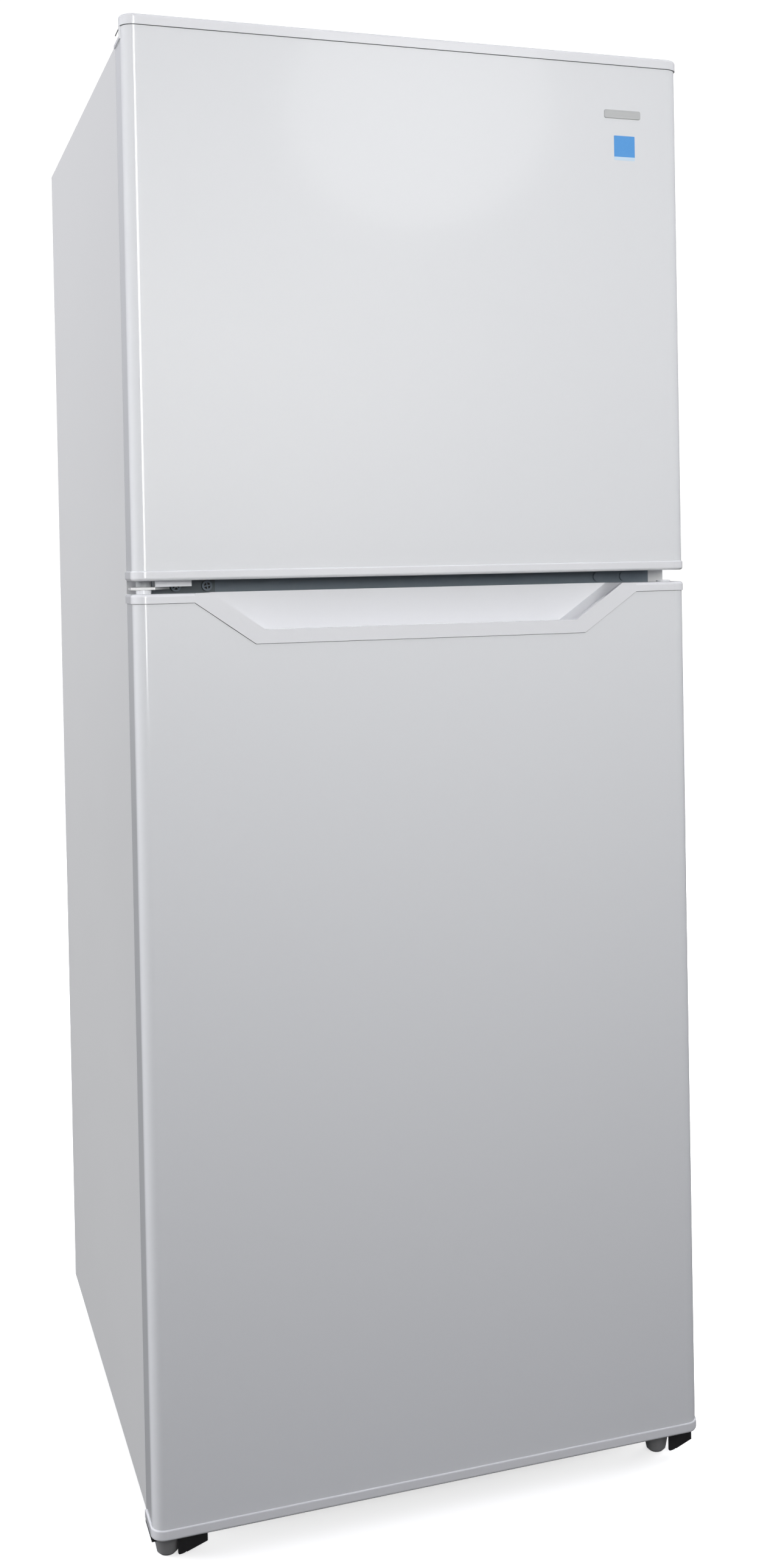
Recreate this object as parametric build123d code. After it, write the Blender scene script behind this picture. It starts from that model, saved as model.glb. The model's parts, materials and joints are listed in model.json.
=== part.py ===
"""Top freezer refrigerator: cabinet, two hinged doors, interior fittings, cooling parts and running gear.

Millimetres. The origin is on the floor, under the middle of the refrigerator. +X is the viewer's right,
+Y runs from the doors to the back, +Z is up. Both doors hang on the viewer's left.
"""

from build123d import *
import math
import os

os.makedirs("parts", exist_ok=True)

# ------------------------------------------------------------------ overall sizes
WIDTH = 595.0  # across the door caps
DEPTH = 664.0  # from the door face to the rear cover
HEIGHT = 1516.0  # floor to the top of the freezer door

# ------------------------------------------------------------------ doors
DOOR_THICK = 48.0
DOOR_BOTTOM = 30.0  # floor to the underside of the refrigerator door
DOOR_GAP = 12.7  # between the two doors
FREEZER_DOOR_H = 547.3
TOP_CAP_H = 10.5
BOTTOM_CAP_H = 8.5
TRIM_H = 9.3  # handle trim at its ends
CAP_PROUD = 1.3  # the caps stand out from the sheet skin
CORNER_R = 13.0
CAP_EDGE_R = 3.0
SHEET = 0.7
FLANGE = 14.0  # return of the door skin behind the door
LINER = 1.6
GASKET_GAP = 7.0  # door back to cabinet front, with the gasket pressed flat
GASKET_CLEAR = 0.3
GASKET_INSET = 16.0
GASKET_W = 13.0
RIDGE_H = 38.0  # the door liner's raised rim
RIDGE_W = 28.0
RIDGE_CLEAR = 12.0  # between that rim and the compartment wall

# ------------------------------------------------------------------ handle recess in the refrigerator door
RECESS_IN = 60.5  # seam line's upper bends, from the door's sides
RECESS_RUN = 60.0  # from those across to the lower bends
RECESS_DROP = 42.2  # how far the seam line dips
LIP_H = 14.0  # trim height along the dip
LIP_T = 6.0
RECESS_DEPTH = 34.0
RECESS_WALL = 3.0
HOOK_DEPTH = 9.0  # the finger hollow behind the lip
RECESS_BACK_IN = 12.0  # how far the back wall's corners lie inside the lip's

# ------------------------------------------------------------------ hinges
PIN_IN_X = 15.0  # hinge pin axis from the door's side
PIN_IN_Y = 28.0  # hinge pin axis from the door's face
PIN_R = 4.0
PIN_FIT = 0.06
PIN_REACH = 13.0  # how far each pin enters its door
BUSH_R = 6.6
BUSH_FLANGE_R = 7.6
BUSH_LAND = 0.3
NOTCH_W = 58.0  # pocket in the freezer door's top for the top hinge
NOTCH_FRONT = 14.5
NOTCH_FLOOR = 2.5  # below the cabinet top
HINGE_PLATE = 2.5
HINGE_MIDPLATE_DROP = 6.3  # top of the middle plate below the freezer door
SCREW_R = 2.5
SCREW_HEAD_R = 5.2
SCREW_HEAD_H = 4.0
SCREW_LEN = 9.0
HINGE_SCREW_IN = (50.5, 82.0)  # from the door's side
HINGE_FLANGE_IN = (27.5, 90.5)

# ------------------------------------------------------------------ cabinet
CABINET_IN = 2.5  # cabinet sides inside the door caps' sides
CABINET_DROP = 17.0  # cabinet top below the door top
CABINET_BOTTOM = 36.0
COVER_STANDOFF = 6.0  # the rear cover stands behind the back panel
FRONT_FLANGE = 18.0
SIDE_WALL = 42.0
TOP_WALL = 48.0
BACK_WALL = 52.0
FLOOR_WALL = 60.0  # cabinet bottom to the refrigerator floor
MULLION = 66.0
MULLION_BAR = 45.0
BAR_DEPTH = 12.0
BAR_SHEET = 1.2
BASE_H = 36.0
BASE_SHEET = 1.2
BAY_DEPTH = 190.0  # compressor bay
BAY_HEIGHT = 214.0
BAY_WALL = 45.0

# ------------------------------------------------------------------ inside
EVAPORATOR_SPACE = 62.0
COVER_T = 2.5
FAN_X = 0.0
FAN_DROP = 118.0  # fan axis below the freezer ceiling
FAN_R = 46.0
FAN_T = 18.0
FAN_CLEAR = 4.0
HUB_R = 14.0
BLADES = 5
SHAFT_R = 3.0
SHAFT_FIT = 0.05
KNOB_R = 17.0
KNOB_T = 13.0
AIR_KNOB_X = 150.0
AIR_KNOB_LIFT = 190.0  # above the freezer floor
DUCT_R = 16.0  # cold air passage between the compartments
DUCT_IN = 70.0
FINS = 29
FIN_PITCH = 14.0
COIL_ROWS = 5
SHELF_FRONT = 124.0  # shelf front edge behind the cabinet front
SHELF_T = 4.0
SHELF_LIFT = (384.0, 594.0)  # above the refrigerator floor
FREEZER_SHELF_LIFT = 226.65  # above the freezer floor
LEDGE = 6.0
SIDE_CLEAR = 2.0
CRISPER_FRONT = 138.0
CRISPER_TRAVEL = 30.0
CRISPER_LIFT = 2.5
TRAY_WALL = 2.4
BIN_DEPTH = 98.0
BIN_WALL = 2.2
FREEZER_BINS = ((5.0, 92.0), (208.0, 92.0))  # floor above the ridge's lower run, wall height
FRIDGE_BINS = ((5.0, 128.0), (304.0, 96.0), (534.0, 96.0))
CONTROL_BACK = 300.0  # control box behind the cabinet front
CONTROL_HALF = 125.0
CONTROL_DEPTH = 96.0
CONTROL_H = 38.0
LENS_X = (-111.0, 36.0)
LENS_EDGE = 12.0
DIAL_X = 78.0
DIAL_R = 15.0
DIAL_T = 11.0
SWITCH_IN = 57.0  # from the compartment's wall
SWITCH_BACK = 10.0  # switch housing behind the door's ridge
SWITCH_DEPTH = 36.0
PLUNGER_R = 4.0
PLUNGER_DROP = 22.0
PLUNGER_FIT = 0.06

# ------------------------------------------------------------------ cooling parts in the bay
COMPRESSOR_X = 96.0
COMPRESSOR_BACK = 96.0  # axis ahead of the cabinet's back
COMPRESSOR_R = 60.0
COMPRESSOR_LIFT = 22.0
COMPRESSOR_H = 128.0
GROMMET_X = 74.0
GROMMET_Y = 52.0
PIPE_R = 3.2
PIPE_BEND = 16.0
GLAND_IN = 24.0
GLAND_LIFT = 54.0
GLAND_R = 8.0
CORD_HOLE_R = 4.2

# ------------------------------------------------------------------ feet and rollers
FOOT_LEFT_IN = 20.0  # foot axis from the left side
FOOT_RIGHT_IN = 36.5  # and from the right
FOOT_Y_IN = 37.0
FOOT_TOP_R = 15.0
FOOT_LOW_R = 8.0
FOOT_H = 21.0
FOOT_RIBS = 16
BRACKET_Z = 24.0
BRACKET_T = 3.0
GUSSET_CLEAR = 1.5  # between a foot and the gusset beside it
GUSSET_FOOT_H = 19.0
GUSSET_END_H = 12.0
GUSSET_Y_IN = 20.0  # gusset's front from the door's face
BRACKET_UPRIGHT = 2.0  # thin, so that the door's back corner swings past it
LOW_HEAD_H = 1.6  # head height of the bracket screws, for the same reason
BRACKET_REACH = 57.5  # inner end of both front brackets, from the door's side
STUD_R = 4.0
STUD_FIT = 0.05
STUD_SHORT = 0.5  # the stud ends inside the bracket, clear of the bush above it
ROLLER_R = 16.0
ROLLER_W = 18.0
ROLLER_IN = 33.0  # roller middle from the cabinet's side
ROLLER_BACK = 45.0  # axle ahead of the cabinet's back
AXLE_R = 3.0

# ------------------------------------------------------------------ worked out from the above
HALF = WIDTH / 2
FRONT = -DEPTH / 2
BACK = DEPTH / 2
DOOR_BACK = FRONT + DOOR_THICK
SKIN_HALF = HALF - CAP_PROUD
SKIN_FRONT = FRONT + CAP_PROUD
SKIN_BACK = DOOR_BACK - LINER
CAB_HALF = HALF - CABINET_IN
CAB_FRONT = DOOR_BACK + GASKET_GAP
RECESS_TOP_HALF = HALF - RECESS_IN
RECESS_LOW_HALF = RECESS_TOP_HALF - RECESS_RUN
HINGE_SCREW_X = tuple(HALF - inset for inset in HINGE_SCREW_IN)
HINGE_FLANGE_X = tuple(HALF - inset for inset in HINGE_FLANGE_IN)
FOOT_LEFT_X = -HALF + FOOT_LEFT_IN
FOOT_RIGHT_X = HALF - FOOT_RIGHT_IN
BRACKET_IN = HALF - BRACKET_REACH
ROLLER_X = CAB_HALF - ROLLER_IN
CAB_BACK = BACK - COVER_STANDOFF
CAB_TOP = HEIGHT - CABINET_DROP
FREEZER_BOTTOM = HEIGHT - FREEZER_DOOR_H
FRIDGE_TOP = FREEZER_BOTTOM - DOOR_GAP
GAP_MID = (FREEZER_BOTTOM + FRIDGE_TOP) / 2
PIN_X = -HALF + PIN_IN_X
PIN_Y = FRONT + PIN_IN_Y
CAVITY_HALF = CAB_HALF - SIDE_WALL
CAVITY_BACK = CAB_BACK - BACK_WALL
FREEZER_FLOOR = GAP_MID + MULLION / 2
FREEZER_CEILING = CAB_TOP - TOP_WALL
FRIDGE_FLOOR = CABINET_BOTTOM + FLOOR_WALL
FRIDGE_CEILING = GAP_MID - MULLION / 2
SHELF_Z = tuple(FRIDGE_FLOOR + lift for lift in SHELF_LIFT)
FREEZER_SHELF_Z = FREEZER_FLOOR + FREEZER_SHELF_LIFT
SWITCH_X = CAVITY_HALF - SWITCH_IN
BAR_LOW = GAP_MID - MULLION_BAR / 2
BAR_HIGH = GAP_MID + MULLION_BAR / 2
BASE_TOP = CABINET_BOTTOM + BASE_H
BAY_FRONT = CAB_BACK - BAY_DEPTH
BAY_TOP = CABINET_BOTTOM + BAY_HEIGHT
STEP_FRONT = BAY_FRONT - BAY_WALL
STEP_TOP = BAY_TOP + BAY_WALL
RIDGE_HALF = CAVITY_HALF - RIDGE_CLEAR
RIDGE_BACK = DOOR_BACK + RIDGE_H
SEAM_LOW = FRIDGE_TOP - TRIM_H - RECESS_DROP
NOTCH_Z = CAB_TOP - NOTCH_FLOOR
MID_PLATE_TOP = FREEZER_BOTTOM - HINGE_MIDPLATE_DROP
MID_PLATE_LOW = MID_PLATE_TOP - HINGE_PLATE
BRACKET_TOP = BRACKET_Z + BRACKET_T
EVAPORATOR_FACE = CAVITY_BACK - EVAPORATOR_SPACE
FAN_Z = FREEZER_CEILING - FAN_DROP
FAN_Y = EVAPORATOR_FACE + COVER_T + FAN_CLEAR
AIR_KNOB_Z = FREEZER_FLOOR + AIR_KNOB_LIFT
DUCT_X = CAVITY_HALF - DUCT_IN
DUCT_Y = EVAPORATOR_FACE + EVAPORATOR_SPACE / 2
CONTROL_Y = CAB_FRONT + CONTROL_BACK
CONTROL_LOW = FRIDGE_CEILING - CONTROL_H
CONTROL_MID = FRIDGE_CEILING - CONTROL_H / 2
PLUNGER_Z = FRIDGE_CEILING - PLUNGER_DROP
SWITCH_Y = RIDGE_BACK + SWITCH_BACK
COMPRESSOR_Y = CAB_BACK - COMPRESSOR_BACK
COMPRESSOR_LOW = CABINET_BOTTOM + COMPRESSOR_LIFT
GLAND_X = -CAVITY_HALF + GLAND_IN
GLAND_Z = CABINET_BOTTOM + GLAND_LIFT
SKIN_TOPS = {"freezer": HEIGHT - TOP_CAP_H, "fridge": FRIDGE_TOP - TRIM_H}
SKIN_LOWS = {"freezer": FREEZER_BOTTOM + BOTTOM_CAP_H, "fridge": DOOR_BOTTOM + BOTTOM_CAP_H + 1.5}
GASKET_SPANS = {
    "freezer": (FREEZER_BOTTOM + 12.0, CAB_TOP - 8.0),
    "fridge": (CABINET_BOTTOM + 26.0, FRIDGE_TOP - 12.0),
}
RIDGE_SPANS = {
    "freezer": (FREEZER_FLOOR + RIDGE_CLEAR, FREEZER_CEILING - RIDGE_CLEAR),
    "fridge": (FRIDGE_FLOOR + RIDGE_CLEAR, FRIDGE_CEILING - RIDGE_CLEAR),
}
EPS = 1.0  # how far a cutting tool runs past what it cuts


# ------------------------------------------------------------------ shared shapes
def block(x0, x1, y0, y1, z0, z1):
    return Pos((x0 + x1) / 2, (y0 + y1) / 2, (z0 + z1) / 2) * Box(x1 - x0, y1 - y0, z1 - z0)


def rod_z(x, y, z0, z1, r):
    return Pos(x, y, (z0 + z1) / 2) * Cylinder(r, z1 - z0)


def rod_y(x, z, y0, y1, r):
    return Pos(x, (y0 + y1) / 2, z) * Rot(90, 0, 0) * Cylinder(r, y1 - y0)


def rod_x(y, z, x0, x1, r):
    return Pos((x0 + x1) / 2, y, z) * Rot(0, 90, 0) * Cylinder(r, x1 - x0)


def frame_xz(half, z0, z1, width, y0, y1):
    """A flat picture-frame ring facing the doors."""
    hole = block(-half + width, half - width, y0 - EPS, y1 + EPS, z0 + width, z1 - width)
    return block(-half, half, y0, y1, z0, z1) - hole


def tray(x0, x1, y0, y1, z0, z1, wall):
    """An open-topped box with one wall thickness."""
    hollow = block(x0 + wall, x1 - wall, y0 + wall, y1 - wall, z0 + wall, z1 + EPS)
    return block(x0, x1, y0, y1, z0, z1) - hollow


def door_block(half, y0, y1, z0, z1, radius):
    """A slab with its two upright front corners rounded."""
    slab = block(-half, half, y0, y1, z0, z1)
    return fillet(slab.edges().filter_by(Axis.Z).group_by(Axis.Y)[0], radius)


def outline_xz(points, y0, y1):
    """A prism with the given outline in X and Z, from y0 back to y1."""
    face = make_face(Polyline(*[(x, y0, z) for x, z in points], close=True))
    return extrude(face, amount=y1 - y0, dir=(0, 1, 0))


def outline_xy(points, z0, z1):
    """A plate with the given outline in X and Y."""
    face = make_face(Polyline(*[(x, y, z0) for x, y in points], close=True))
    return extrude(face, amount=z1 - z0, dir=(0, 0, 1))


def screw_y(x, z, y_face, head_h=SCREW_HEAD_H):
    """A pan-head screw driven back into a face; the head stands in front of it."""
    head = rod_y(x, z, y_face - head_h, y_face, SCREW_HEAD_R)
    return head + rod_y(x, z, y_face, y_face + SCREW_LEN, SCREW_R)


def screw_z(x, y, z_face, length=SCREW_LEN):
    """A pan-head screw driven down into a face."""
    head = rod_z(x, y, z_face, z_face + SCREW_HEAD_H * 0.7, SCREW_HEAD_R)
    return head + rod_z(x, y, z_face - length, z_face, SCREW_R)


def save(name, *solids):
    shape = solids[0] if len(solids) == 1 else Compound(children=list(solids))
    export_step(shape, f"parts/{name}.step")


# ------------------------------------------------------------------ hole positions shared by mating parts
TOP_HINGE_SCREWS = [(PIN_X + dx, CAB_FRONT + dy) for dx, dy in ((22.0, 22.0), (52.0, 22.0), (37.0, 46.0))]
BRACKET_SCREW_X = (BRACKET_IN + 9.0, BRACKET_IN + 25.0)
BRACKET_SCREW_Z = CABINET_BOTTOM + 14.0
BRACKET_FACE = CAB_FRONT - BRACKET_UPRIGHT
HINGE_FACE = CAB_FRONT - HINGE_PLATE
COVER_SCREWS = [(x, z) for x in (-CAVITY_HALF, CAVITY_HALF) for z in (CABINET_BOTTOM + 20.0, BAY_TOP - 14.0)]


# ------------------------------------------------------------------ cabinet
def cabinet_shell():
    outer = block(-CAB_HALF, CAB_HALF, CAB_FRONT, CAB_BACK, CABINET_BOTTOM, CAB_TOP)
    inner = block(
        -CAB_HALF + SHEET, CAB_HALF - SHEET, CAB_FRONT - EPS, CAB_BACK + EPS,
        CABINET_BOTTOM - EPS, CAB_TOP - SHEET,
    )
    wrap = outer - inner
    edge = CAB_HALF - SHEET
    flange = block(-edge, edge, CAB_FRONT, CAB_FRONT + SHEET, BASE_TOP, CAB_TOP - SHEET) - block(
        -CAB_HALF + FRONT_FLANGE, CAB_HALF - FRONT_FLANGE, CAB_FRONT - EPS, CAB_FRONT + SHEET + EPS, 0,
        CAB_TOP - FRONT_FLANGE,
    )
    shell = wrap + flange
    for x, y in TOP_HINGE_SCREWS:
        shell -= rod_z(x, y, CAB_TOP - 2 * EPS, CAB_TOP + EPS, SCREW_R)
    return shell


def base_frame():
    half = CAB_HALF - SHEET
    pan = tray(-half, half, CAB_FRONT, CAB_BACK, CABINET_BOTTOM, BASE_TOP, BASE_SHEET)
    window = block(
        -CAVITY_HALF + 20, CAVITY_HALF - 20, CAB_BACK - 2 * BASE_SHEET, CAB_BACK + EPS,
        CABINET_BOTTOM + 8, BASE_TOP + EPS,
    )
    pan -= window
    axle_y = CAB_BACK - ROLLER_BACK
    for side in (-1, 1):
        for offset in (-1, 1):
            x = side * ROLLER_X + offset * (ROLLER_W / 2 + 2.5)
            ear = block(x - 1.5, x + 1.5, axle_y - 14, axle_y + 14, ROLLER_R - 9, CABINET_BOTTOM)
            pan += ear - rod_x(axle_y, ROLLER_R, x - 5, x + 5, AXLE_R)
    for side in (-1, 1):
        for x in BRACKET_SCREW_X:
            pan -= rod_y(side * x, BRACKET_SCREW_Z, CAB_FRONT - EPS, CAB_FRONT + 3, SCREW_R)
    for x, z in COVER_SCREWS:
        pan -= rod_y(x, z, CAB_BACK - 3, CAB_BACK + EPS, SCREW_R)
    return pan


def bay_panel():
    half = CAB_HALF - SHEET - BASE_SHEET
    back = CAB_BACK - SHEET
    low = CABINET_BOTTOM + BASE_SHEET
    solid = block(-half, half, BAY_FRONT, back, low, BAY_TOP)
    hollow = block(
        -half - EPS, half + EPS, BAY_FRONT + BASE_SHEET, back + EPS, low - EPS, BAY_TOP - BASE_SHEET
    )
    return solid - hollow


def liner_volumes(z0, z1, back, stepped):
    """The liner's outer volume and the compartment inside it."""
    half = CAVITY_HALF
    body = block(-half - LINER, half + LINER, CAB_FRONT, back + LINER, z0 - LINER, z1 + LINER)
    cavity = block(-half, half, CAB_FRONT - EPS, back, z0, z1)
    if stepped:
        body -= block(-CAB_HALF, CAB_HALF, STEP_FRONT + LINER, BACK, 0, STEP_TOP - LINER)
        cavity -= block(-CAB_HALF, CAB_HALF, STEP_FRONT, BACK, 0, STEP_TOP)
    return body, cavity


def ledges(heights, ends):
    """Pairs of side rails in a compartment, each under a shelf whose underside is at the given height."""
    rails = []
    for z, end in zip(heights, ends):
        for side in (-1, 1):
            inner = side * (CAVITY_HALF - LEDGE)
            wall = side * (CAVITY_HALF + LINER / 2)
            x0, x1 = sorted((inner, wall))
            rails.append(block(x0, x1, CAB_FRONT + SHELF_FRONT, end, z - 8, z))
    return rails


def air_duct():
    """The hole that brings cold air down through the wall between the compartments."""
    return rod_z(DUCT_X, DUCT_Y, FRIDGE_CEILING - EPS, FREEZER_FLOOR + EPS, DUCT_R)


def freezer_liner():
    body, cavity = liner_volumes(FREEZER_FLOOR, FREEZER_CEILING, CAVITY_BACK, False)
    rim = CAB_HALF - FRONT_FLANGE
    flange = block(-rim, rim, CAB_FRONT, CAB_FRONT + LINER, BAR_HIGH, CAB_TOP - FRONT_FLANGE)
    shell = body + flange - cavity
    for rail in ledges([FREEZER_SHELF_Z], [EVAPORATOR_FACE - EPS]):
        shell += rail
    return shell - air_duct()


def fridge_liner():
    body, cavity = liner_volumes(FRIDGE_FLOOR, FRIDGE_CEILING, CAVITY_BACK, True)
    rim = CAB_HALF - FRONT_FLANGE
    flange = block(-rim, rim, CAB_FRONT, CAB_FRONT + LINER, BASE_TOP, BAR_LOW)
    shell = body + flange - cavity
    for rail in ledges([*SHELF_Z, STEP_TOP], [CAVITY_BACK - 20, CAVITY_BACK - 20, STEP_FRONT + LINER / 2]):
        shell += rail
    return shell - air_duct()


def mullion_bar():
    half = CAB_HALF - FRONT_FLANGE
    bar = block(-half, half, CAB_FRONT, CAB_FRONT + BAR_DEPTH, BAR_LOW, BAR_HIGH)
    hollow = block(
        -half - EPS, half + EPS, CAB_FRONT + BAR_SHEET, CAB_FRONT + BAR_DEPTH + EPS,
        BAR_LOW + BAR_SHEET, BAR_HIGH - BAR_SHEET,
    )
    bar -= hollow
    for side in (-1, 1):
        for x in HINGE_SCREW_X:
            bar -= rod_y(side * x, GAP_MID, CAB_FRONT - EPS, CAB_FRONT + 3, SCREW_R)
    return bar


def cabinet_foam(pan):
    half = CAB_HALF - SHEET
    low = CABINET_BOTTOM + BASE_SHEET
    foam = block(-half, half, CAB_FRONT + LINER, CAB_BACK - SHEET, low, CAB_TOP - SHEET)
    foam -= block(-half - EPS, half + EPS, BAY_FRONT, BACK, 0, BAY_TOP)
    foam -= liner_volumes(FREEZER_FLOOR, FREEZER_CEILING, CAVITY_BACK, False)[0]
    foam -= liner_volumes(FRIDGE_FLOOR, FRIDGE_CEILING, CAVITY_BACK, True)[0]
    rim = CAB_HALF - FRONT_FLANGE
    foam -= block(-rim, rim, CAB_FRONT, CAB_FRONT + BAR_DEPTH, BAR_LOW, BAR_HIGH)
    foam -= pan
    for x, y in TOP_HINGE_SCREWS:
        foam -= rod_z(x, y, CAB_TOP - SCREW_LEN - EPS, CAB_TOP, SCREW_R)
    for side in (-1, 1):
        for x in BRACKET_SCREW_X:
            foam -= rod_y(side * x, BRACKET_SCREW_Z, CAB_FRONT, BRACKET_FACE + SCREW_LEN + EPS, SCREW_R)
    return foam - air_duct()


def back_panel():
    half = CAB_HALF - SHEET
    return block(-half, half, CAB_BACK - SHEET, CAB_BACK, BAY_TOP, CAB_TOP - SHEET)


# ------------------------------------------------------------------ hinges, brackets, plugs
def top_hinge():
    left = PIN_X
    plate = block(left, left + 66, CAB_FRONT + 6, CAB_FRONT + 60, CAB_TOP, CAB_TOP + HINGE_PLATE)
    arm = outline_xy(
        [
            (PIN_X - 7, PIN_Y + 2), (PIN_X + 6.5, PIN_Y - 4),
            (PIN_X + 40, CAB_FRONT + 7), (PIN_X, CAB_FRONT + 7),
        ],
        CAB_TOP, CAB_TOP + HINGE_PLATE,
    )
    boss = rod_z(PIN_X, PIN_Y, CAB_TOP, CAB_TOP + HINGE_PLATE, PIN_R * 2)
    hinge = plate + arm + boss + rod_z(PIN_X, PIN_Y, CAB_TOP - NOTCH_FLOOR - PIN_REACH, CAB_TOP, PIN_R)
    for x, y in TOP_HINGE_SCREWS:
        hinge -= rod_z(x, y, CAB_TOP - EPS, CAB_TOP + HINGE_PLATE + EPS, SCREW_R)
    return hinge


def top_hinge_cover():
    x0, x1 = PIN_X - 4, PIN_X + 72
    y0, y1 = CAB_FRONT + 5, CAB_FRONT + 68
    top = CAB_TOP + 12
    cover = block(x0, x1, y0, y1, CAB_TOP, top)
    cover = fillet(cover.edges().group_by(Axis.Z)[-1], 4)
    hollow = block(x0 + 2, x1 - 2, y0 - EPS, y1 - 2, CAB_TOP - EPS, top - 2)
    return cover - hollow


def middle_hinge():
    inner, outer = sorted(HINGE_FLANGE_X)
    flange = block(-outer, -inner, HINGE_FACE, CAB_FRONT, GAP_MID - 17, GAP_MID + 17)
    left = -HALF + 1.5
    plate = outline_xy(
        [
            (left, PIN_Y - 8), (PIN_X + 10, PIN_Y - 8), (-outer + 16, HINGE_FACE - 6),
            (-outer + 16, HINGE_FACE), (-outer, HINGE_FACE), (left, PIN_Y + 8),
        ],
        MID_PLATE_LOW, MID_PLATE_TOP,
    )
    web = block(-outer, -outer + 16, HINGE_FACE - EPS, HINGE_FACE + EPS / 2, MID_PLATE_LOW, MID_PLATE_TOP)
    pin = rod_z(PIN_X, PIN_Y, FRIDGE_TOP - PIN_REACH, FREEZER_BOTTOM + PIN_REACH, PIN_R)
    hinge = flange + plate + web + pin
    for x in HINGE_SCREW_X:
        hinge -= rod_y(-x, GAP_MID, HINGE_FACE - EPS, CAB_FRONT + EPS, SCREW_R)
    return hinge


def front_bracket(side, pin):
    """A black steel angle under the cabinet's front edge; the hinge side's one carries the lower pin."""
    outer = HALF - 1.5
    x0, x1 = sorted((side * BRACKET_IN, side * outer))
    foot_x = FOOT_LEFT_X if side < 0 else FOOT_RIGHT_X
    foot_y = FRONT + FOOT_Y_IN
    upright_x0, upright_x1 = sorted((side * BRACKET_IN, side * (CAB_HALF - 2)))
    plate = block(x0, x1, FRONT + 16, CAB_FRONT, BRACKET_Z, BRACKET_TOP)
    upright = block(upright_x0, upright_x1, BRACKET_FACE, CAB_FRONT, BRACKET_Z, CABINET_BOTTOM + 24)
    end = max((side * BRACKET_IN, side * outer), key=lambda x: abs(x - foot_x))
    start = foot_x + math.copysign(FOOT_TOP_R + GUSSET_CLEAR, end - foot_x)
    gusset = outline_xz(
        [
            (start, BRACKET_Z + EPS), (end, BRACKET_Z + EPS),
            (end, BRACKET_Z - GUSSET_END_H), (start, BRACKET_Z - GUSSET_FOOT_H),
        ],
        FRONT + GUSSET_Y_IN, FRONT + GUSSET_Y_IN + BRACKET_T,
    )
    bracket = plate + upright + gusset
    if pin:
        bracket += rod_z(PIN_X, PIN_Y, BRACKET_Z, DOOR_BOTTOM + PIN_REACH, PIN_R)
    bracket -= rod_z(foot_x, foot_y, BRACKET_Z - EPS, BRACKET_TOP + EPS, STUD_R + STUD_FIT)
    for x in BRACKET_SCREW_X:
        bracket -= rod_y(side * x, BRACKET_SCREW_Z, BRACKET_FACE - EPS, CAB_FRONT + EPS, SCREW_R)
    return bracket


def cabinet_screws():
    screws = [screw_z(x, y, CAB_TOP + HINGE_PLATE) for x, y in TOP_HINGE_SCREWS]
    screws += [screw_y(-x, GAP_MID, HINGE_FACE) for x in HINGE_SCREW_X]
    for x in BRACKET_SCREW_X:
        screws += [screw_y(side * x, BRACKET_SCREW_Z, BRACKET_FACE, LOW_HEAD_H) for side in (-1, 1)]
    for x, z in COVER_SCREWS:
        head = rod_y(x, z, BACK - COVER_STANDOFF + 2, BACK - 1, SCREW_HEAD_R)
        screws.append(head + rod_y(x, z, CAB_BACK - 6, BACK - COVER_STANDOFF + 2, SCREW_R))
    return screws


def hole_plugs():
    plugs = []
    for x in HINGE_SCREW_X:
        cap = rod_y(x, GAP_MID, CAB_FRONT - 2.5, CAB_FRONT, 5.0)
        plugs.append(cap + rod_y(x, GAP_MID, CAB_FRONT, CAB_FRONT + 6, SCREW_R))
    return plugs


# ------------------------------------------------------------------ doors
def notch_volume(grow=0.0):
    """The pocket in the freezer door's top, at its hinge corner; grown, it is the space its walls take."""
    return block(
        -HALF - EPS, -HALF + NOTCH_W + grow, FRONT + NOTCH_FRONT - grow, DOOR_BACK + EPS,
        NOTCH_Z - grow, HEIGHT + EPS,
    )


def recess_outline(lift, inset=0.0):
    """The dip's four corners in X and Z, raised by lift, ending level with the door's top."""
    slope = (RECESS_TOP_HALF - RECESS_LOW_HALF) / RECESS_DROP
    low = SEAM_LOW + lift
    half_low = RECESS_LOW_HALF - inset
    top = FRIDGE_TOP + EPS
    half_top = half_low + slope * (top - low)
    return [(-half_low, low), (half_low, low), (half_top, top), (-half_top, top)]


def handle_block(grow=0.0):
    """The dip's solid block inside the door."""
    points = [
        (-RECESS_LOW_HALF, SEAM_LOW), (RECESS_LOW_HALF, SEAM_LOW), (RECESS_TOP_HALF, SKIN_TOPS["fridge"]),
        (RECESS_TOP_HALF, FRIDGE_TOP), (-RECESS_TOP_HALF, FRIDGE_TOP),
        (-RECESS_TOP_HALF, SKIN_TOPS["fridge"]),
    ]
    return outline_xz(points, FRONT - grow, FRONT + RECESS_DEPTH + RECESS_WALL + grow)


def door_skin(which):
    low, top = SKIN_LOWS[which], SKIN_TOPS[which]
    outer = door_block(SKIN_HALF, SKIN_FRONT, SKIN_BACK, low, top, CORNER_R)
    inner = door_block(
        SKIN_HALF - SHEET, SKIN_FRONT + SHEET, SKIN_BACK - SHEET, low - EPS, top + EPS, CORNER_R - SHEET
    )
    window = SKIN_HALF - FLANGE
    open_back = block(-window, window, SKIN_BACK - 2 * SHEET, SKIN_BACK + EPS, low - EPS, top + EPS)
    skin = outer - inner - open_back
    if which == "freezer":
        return skin - notch_volume(RECESS_WALL)
    return skin - handle_block(EPS)


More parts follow.
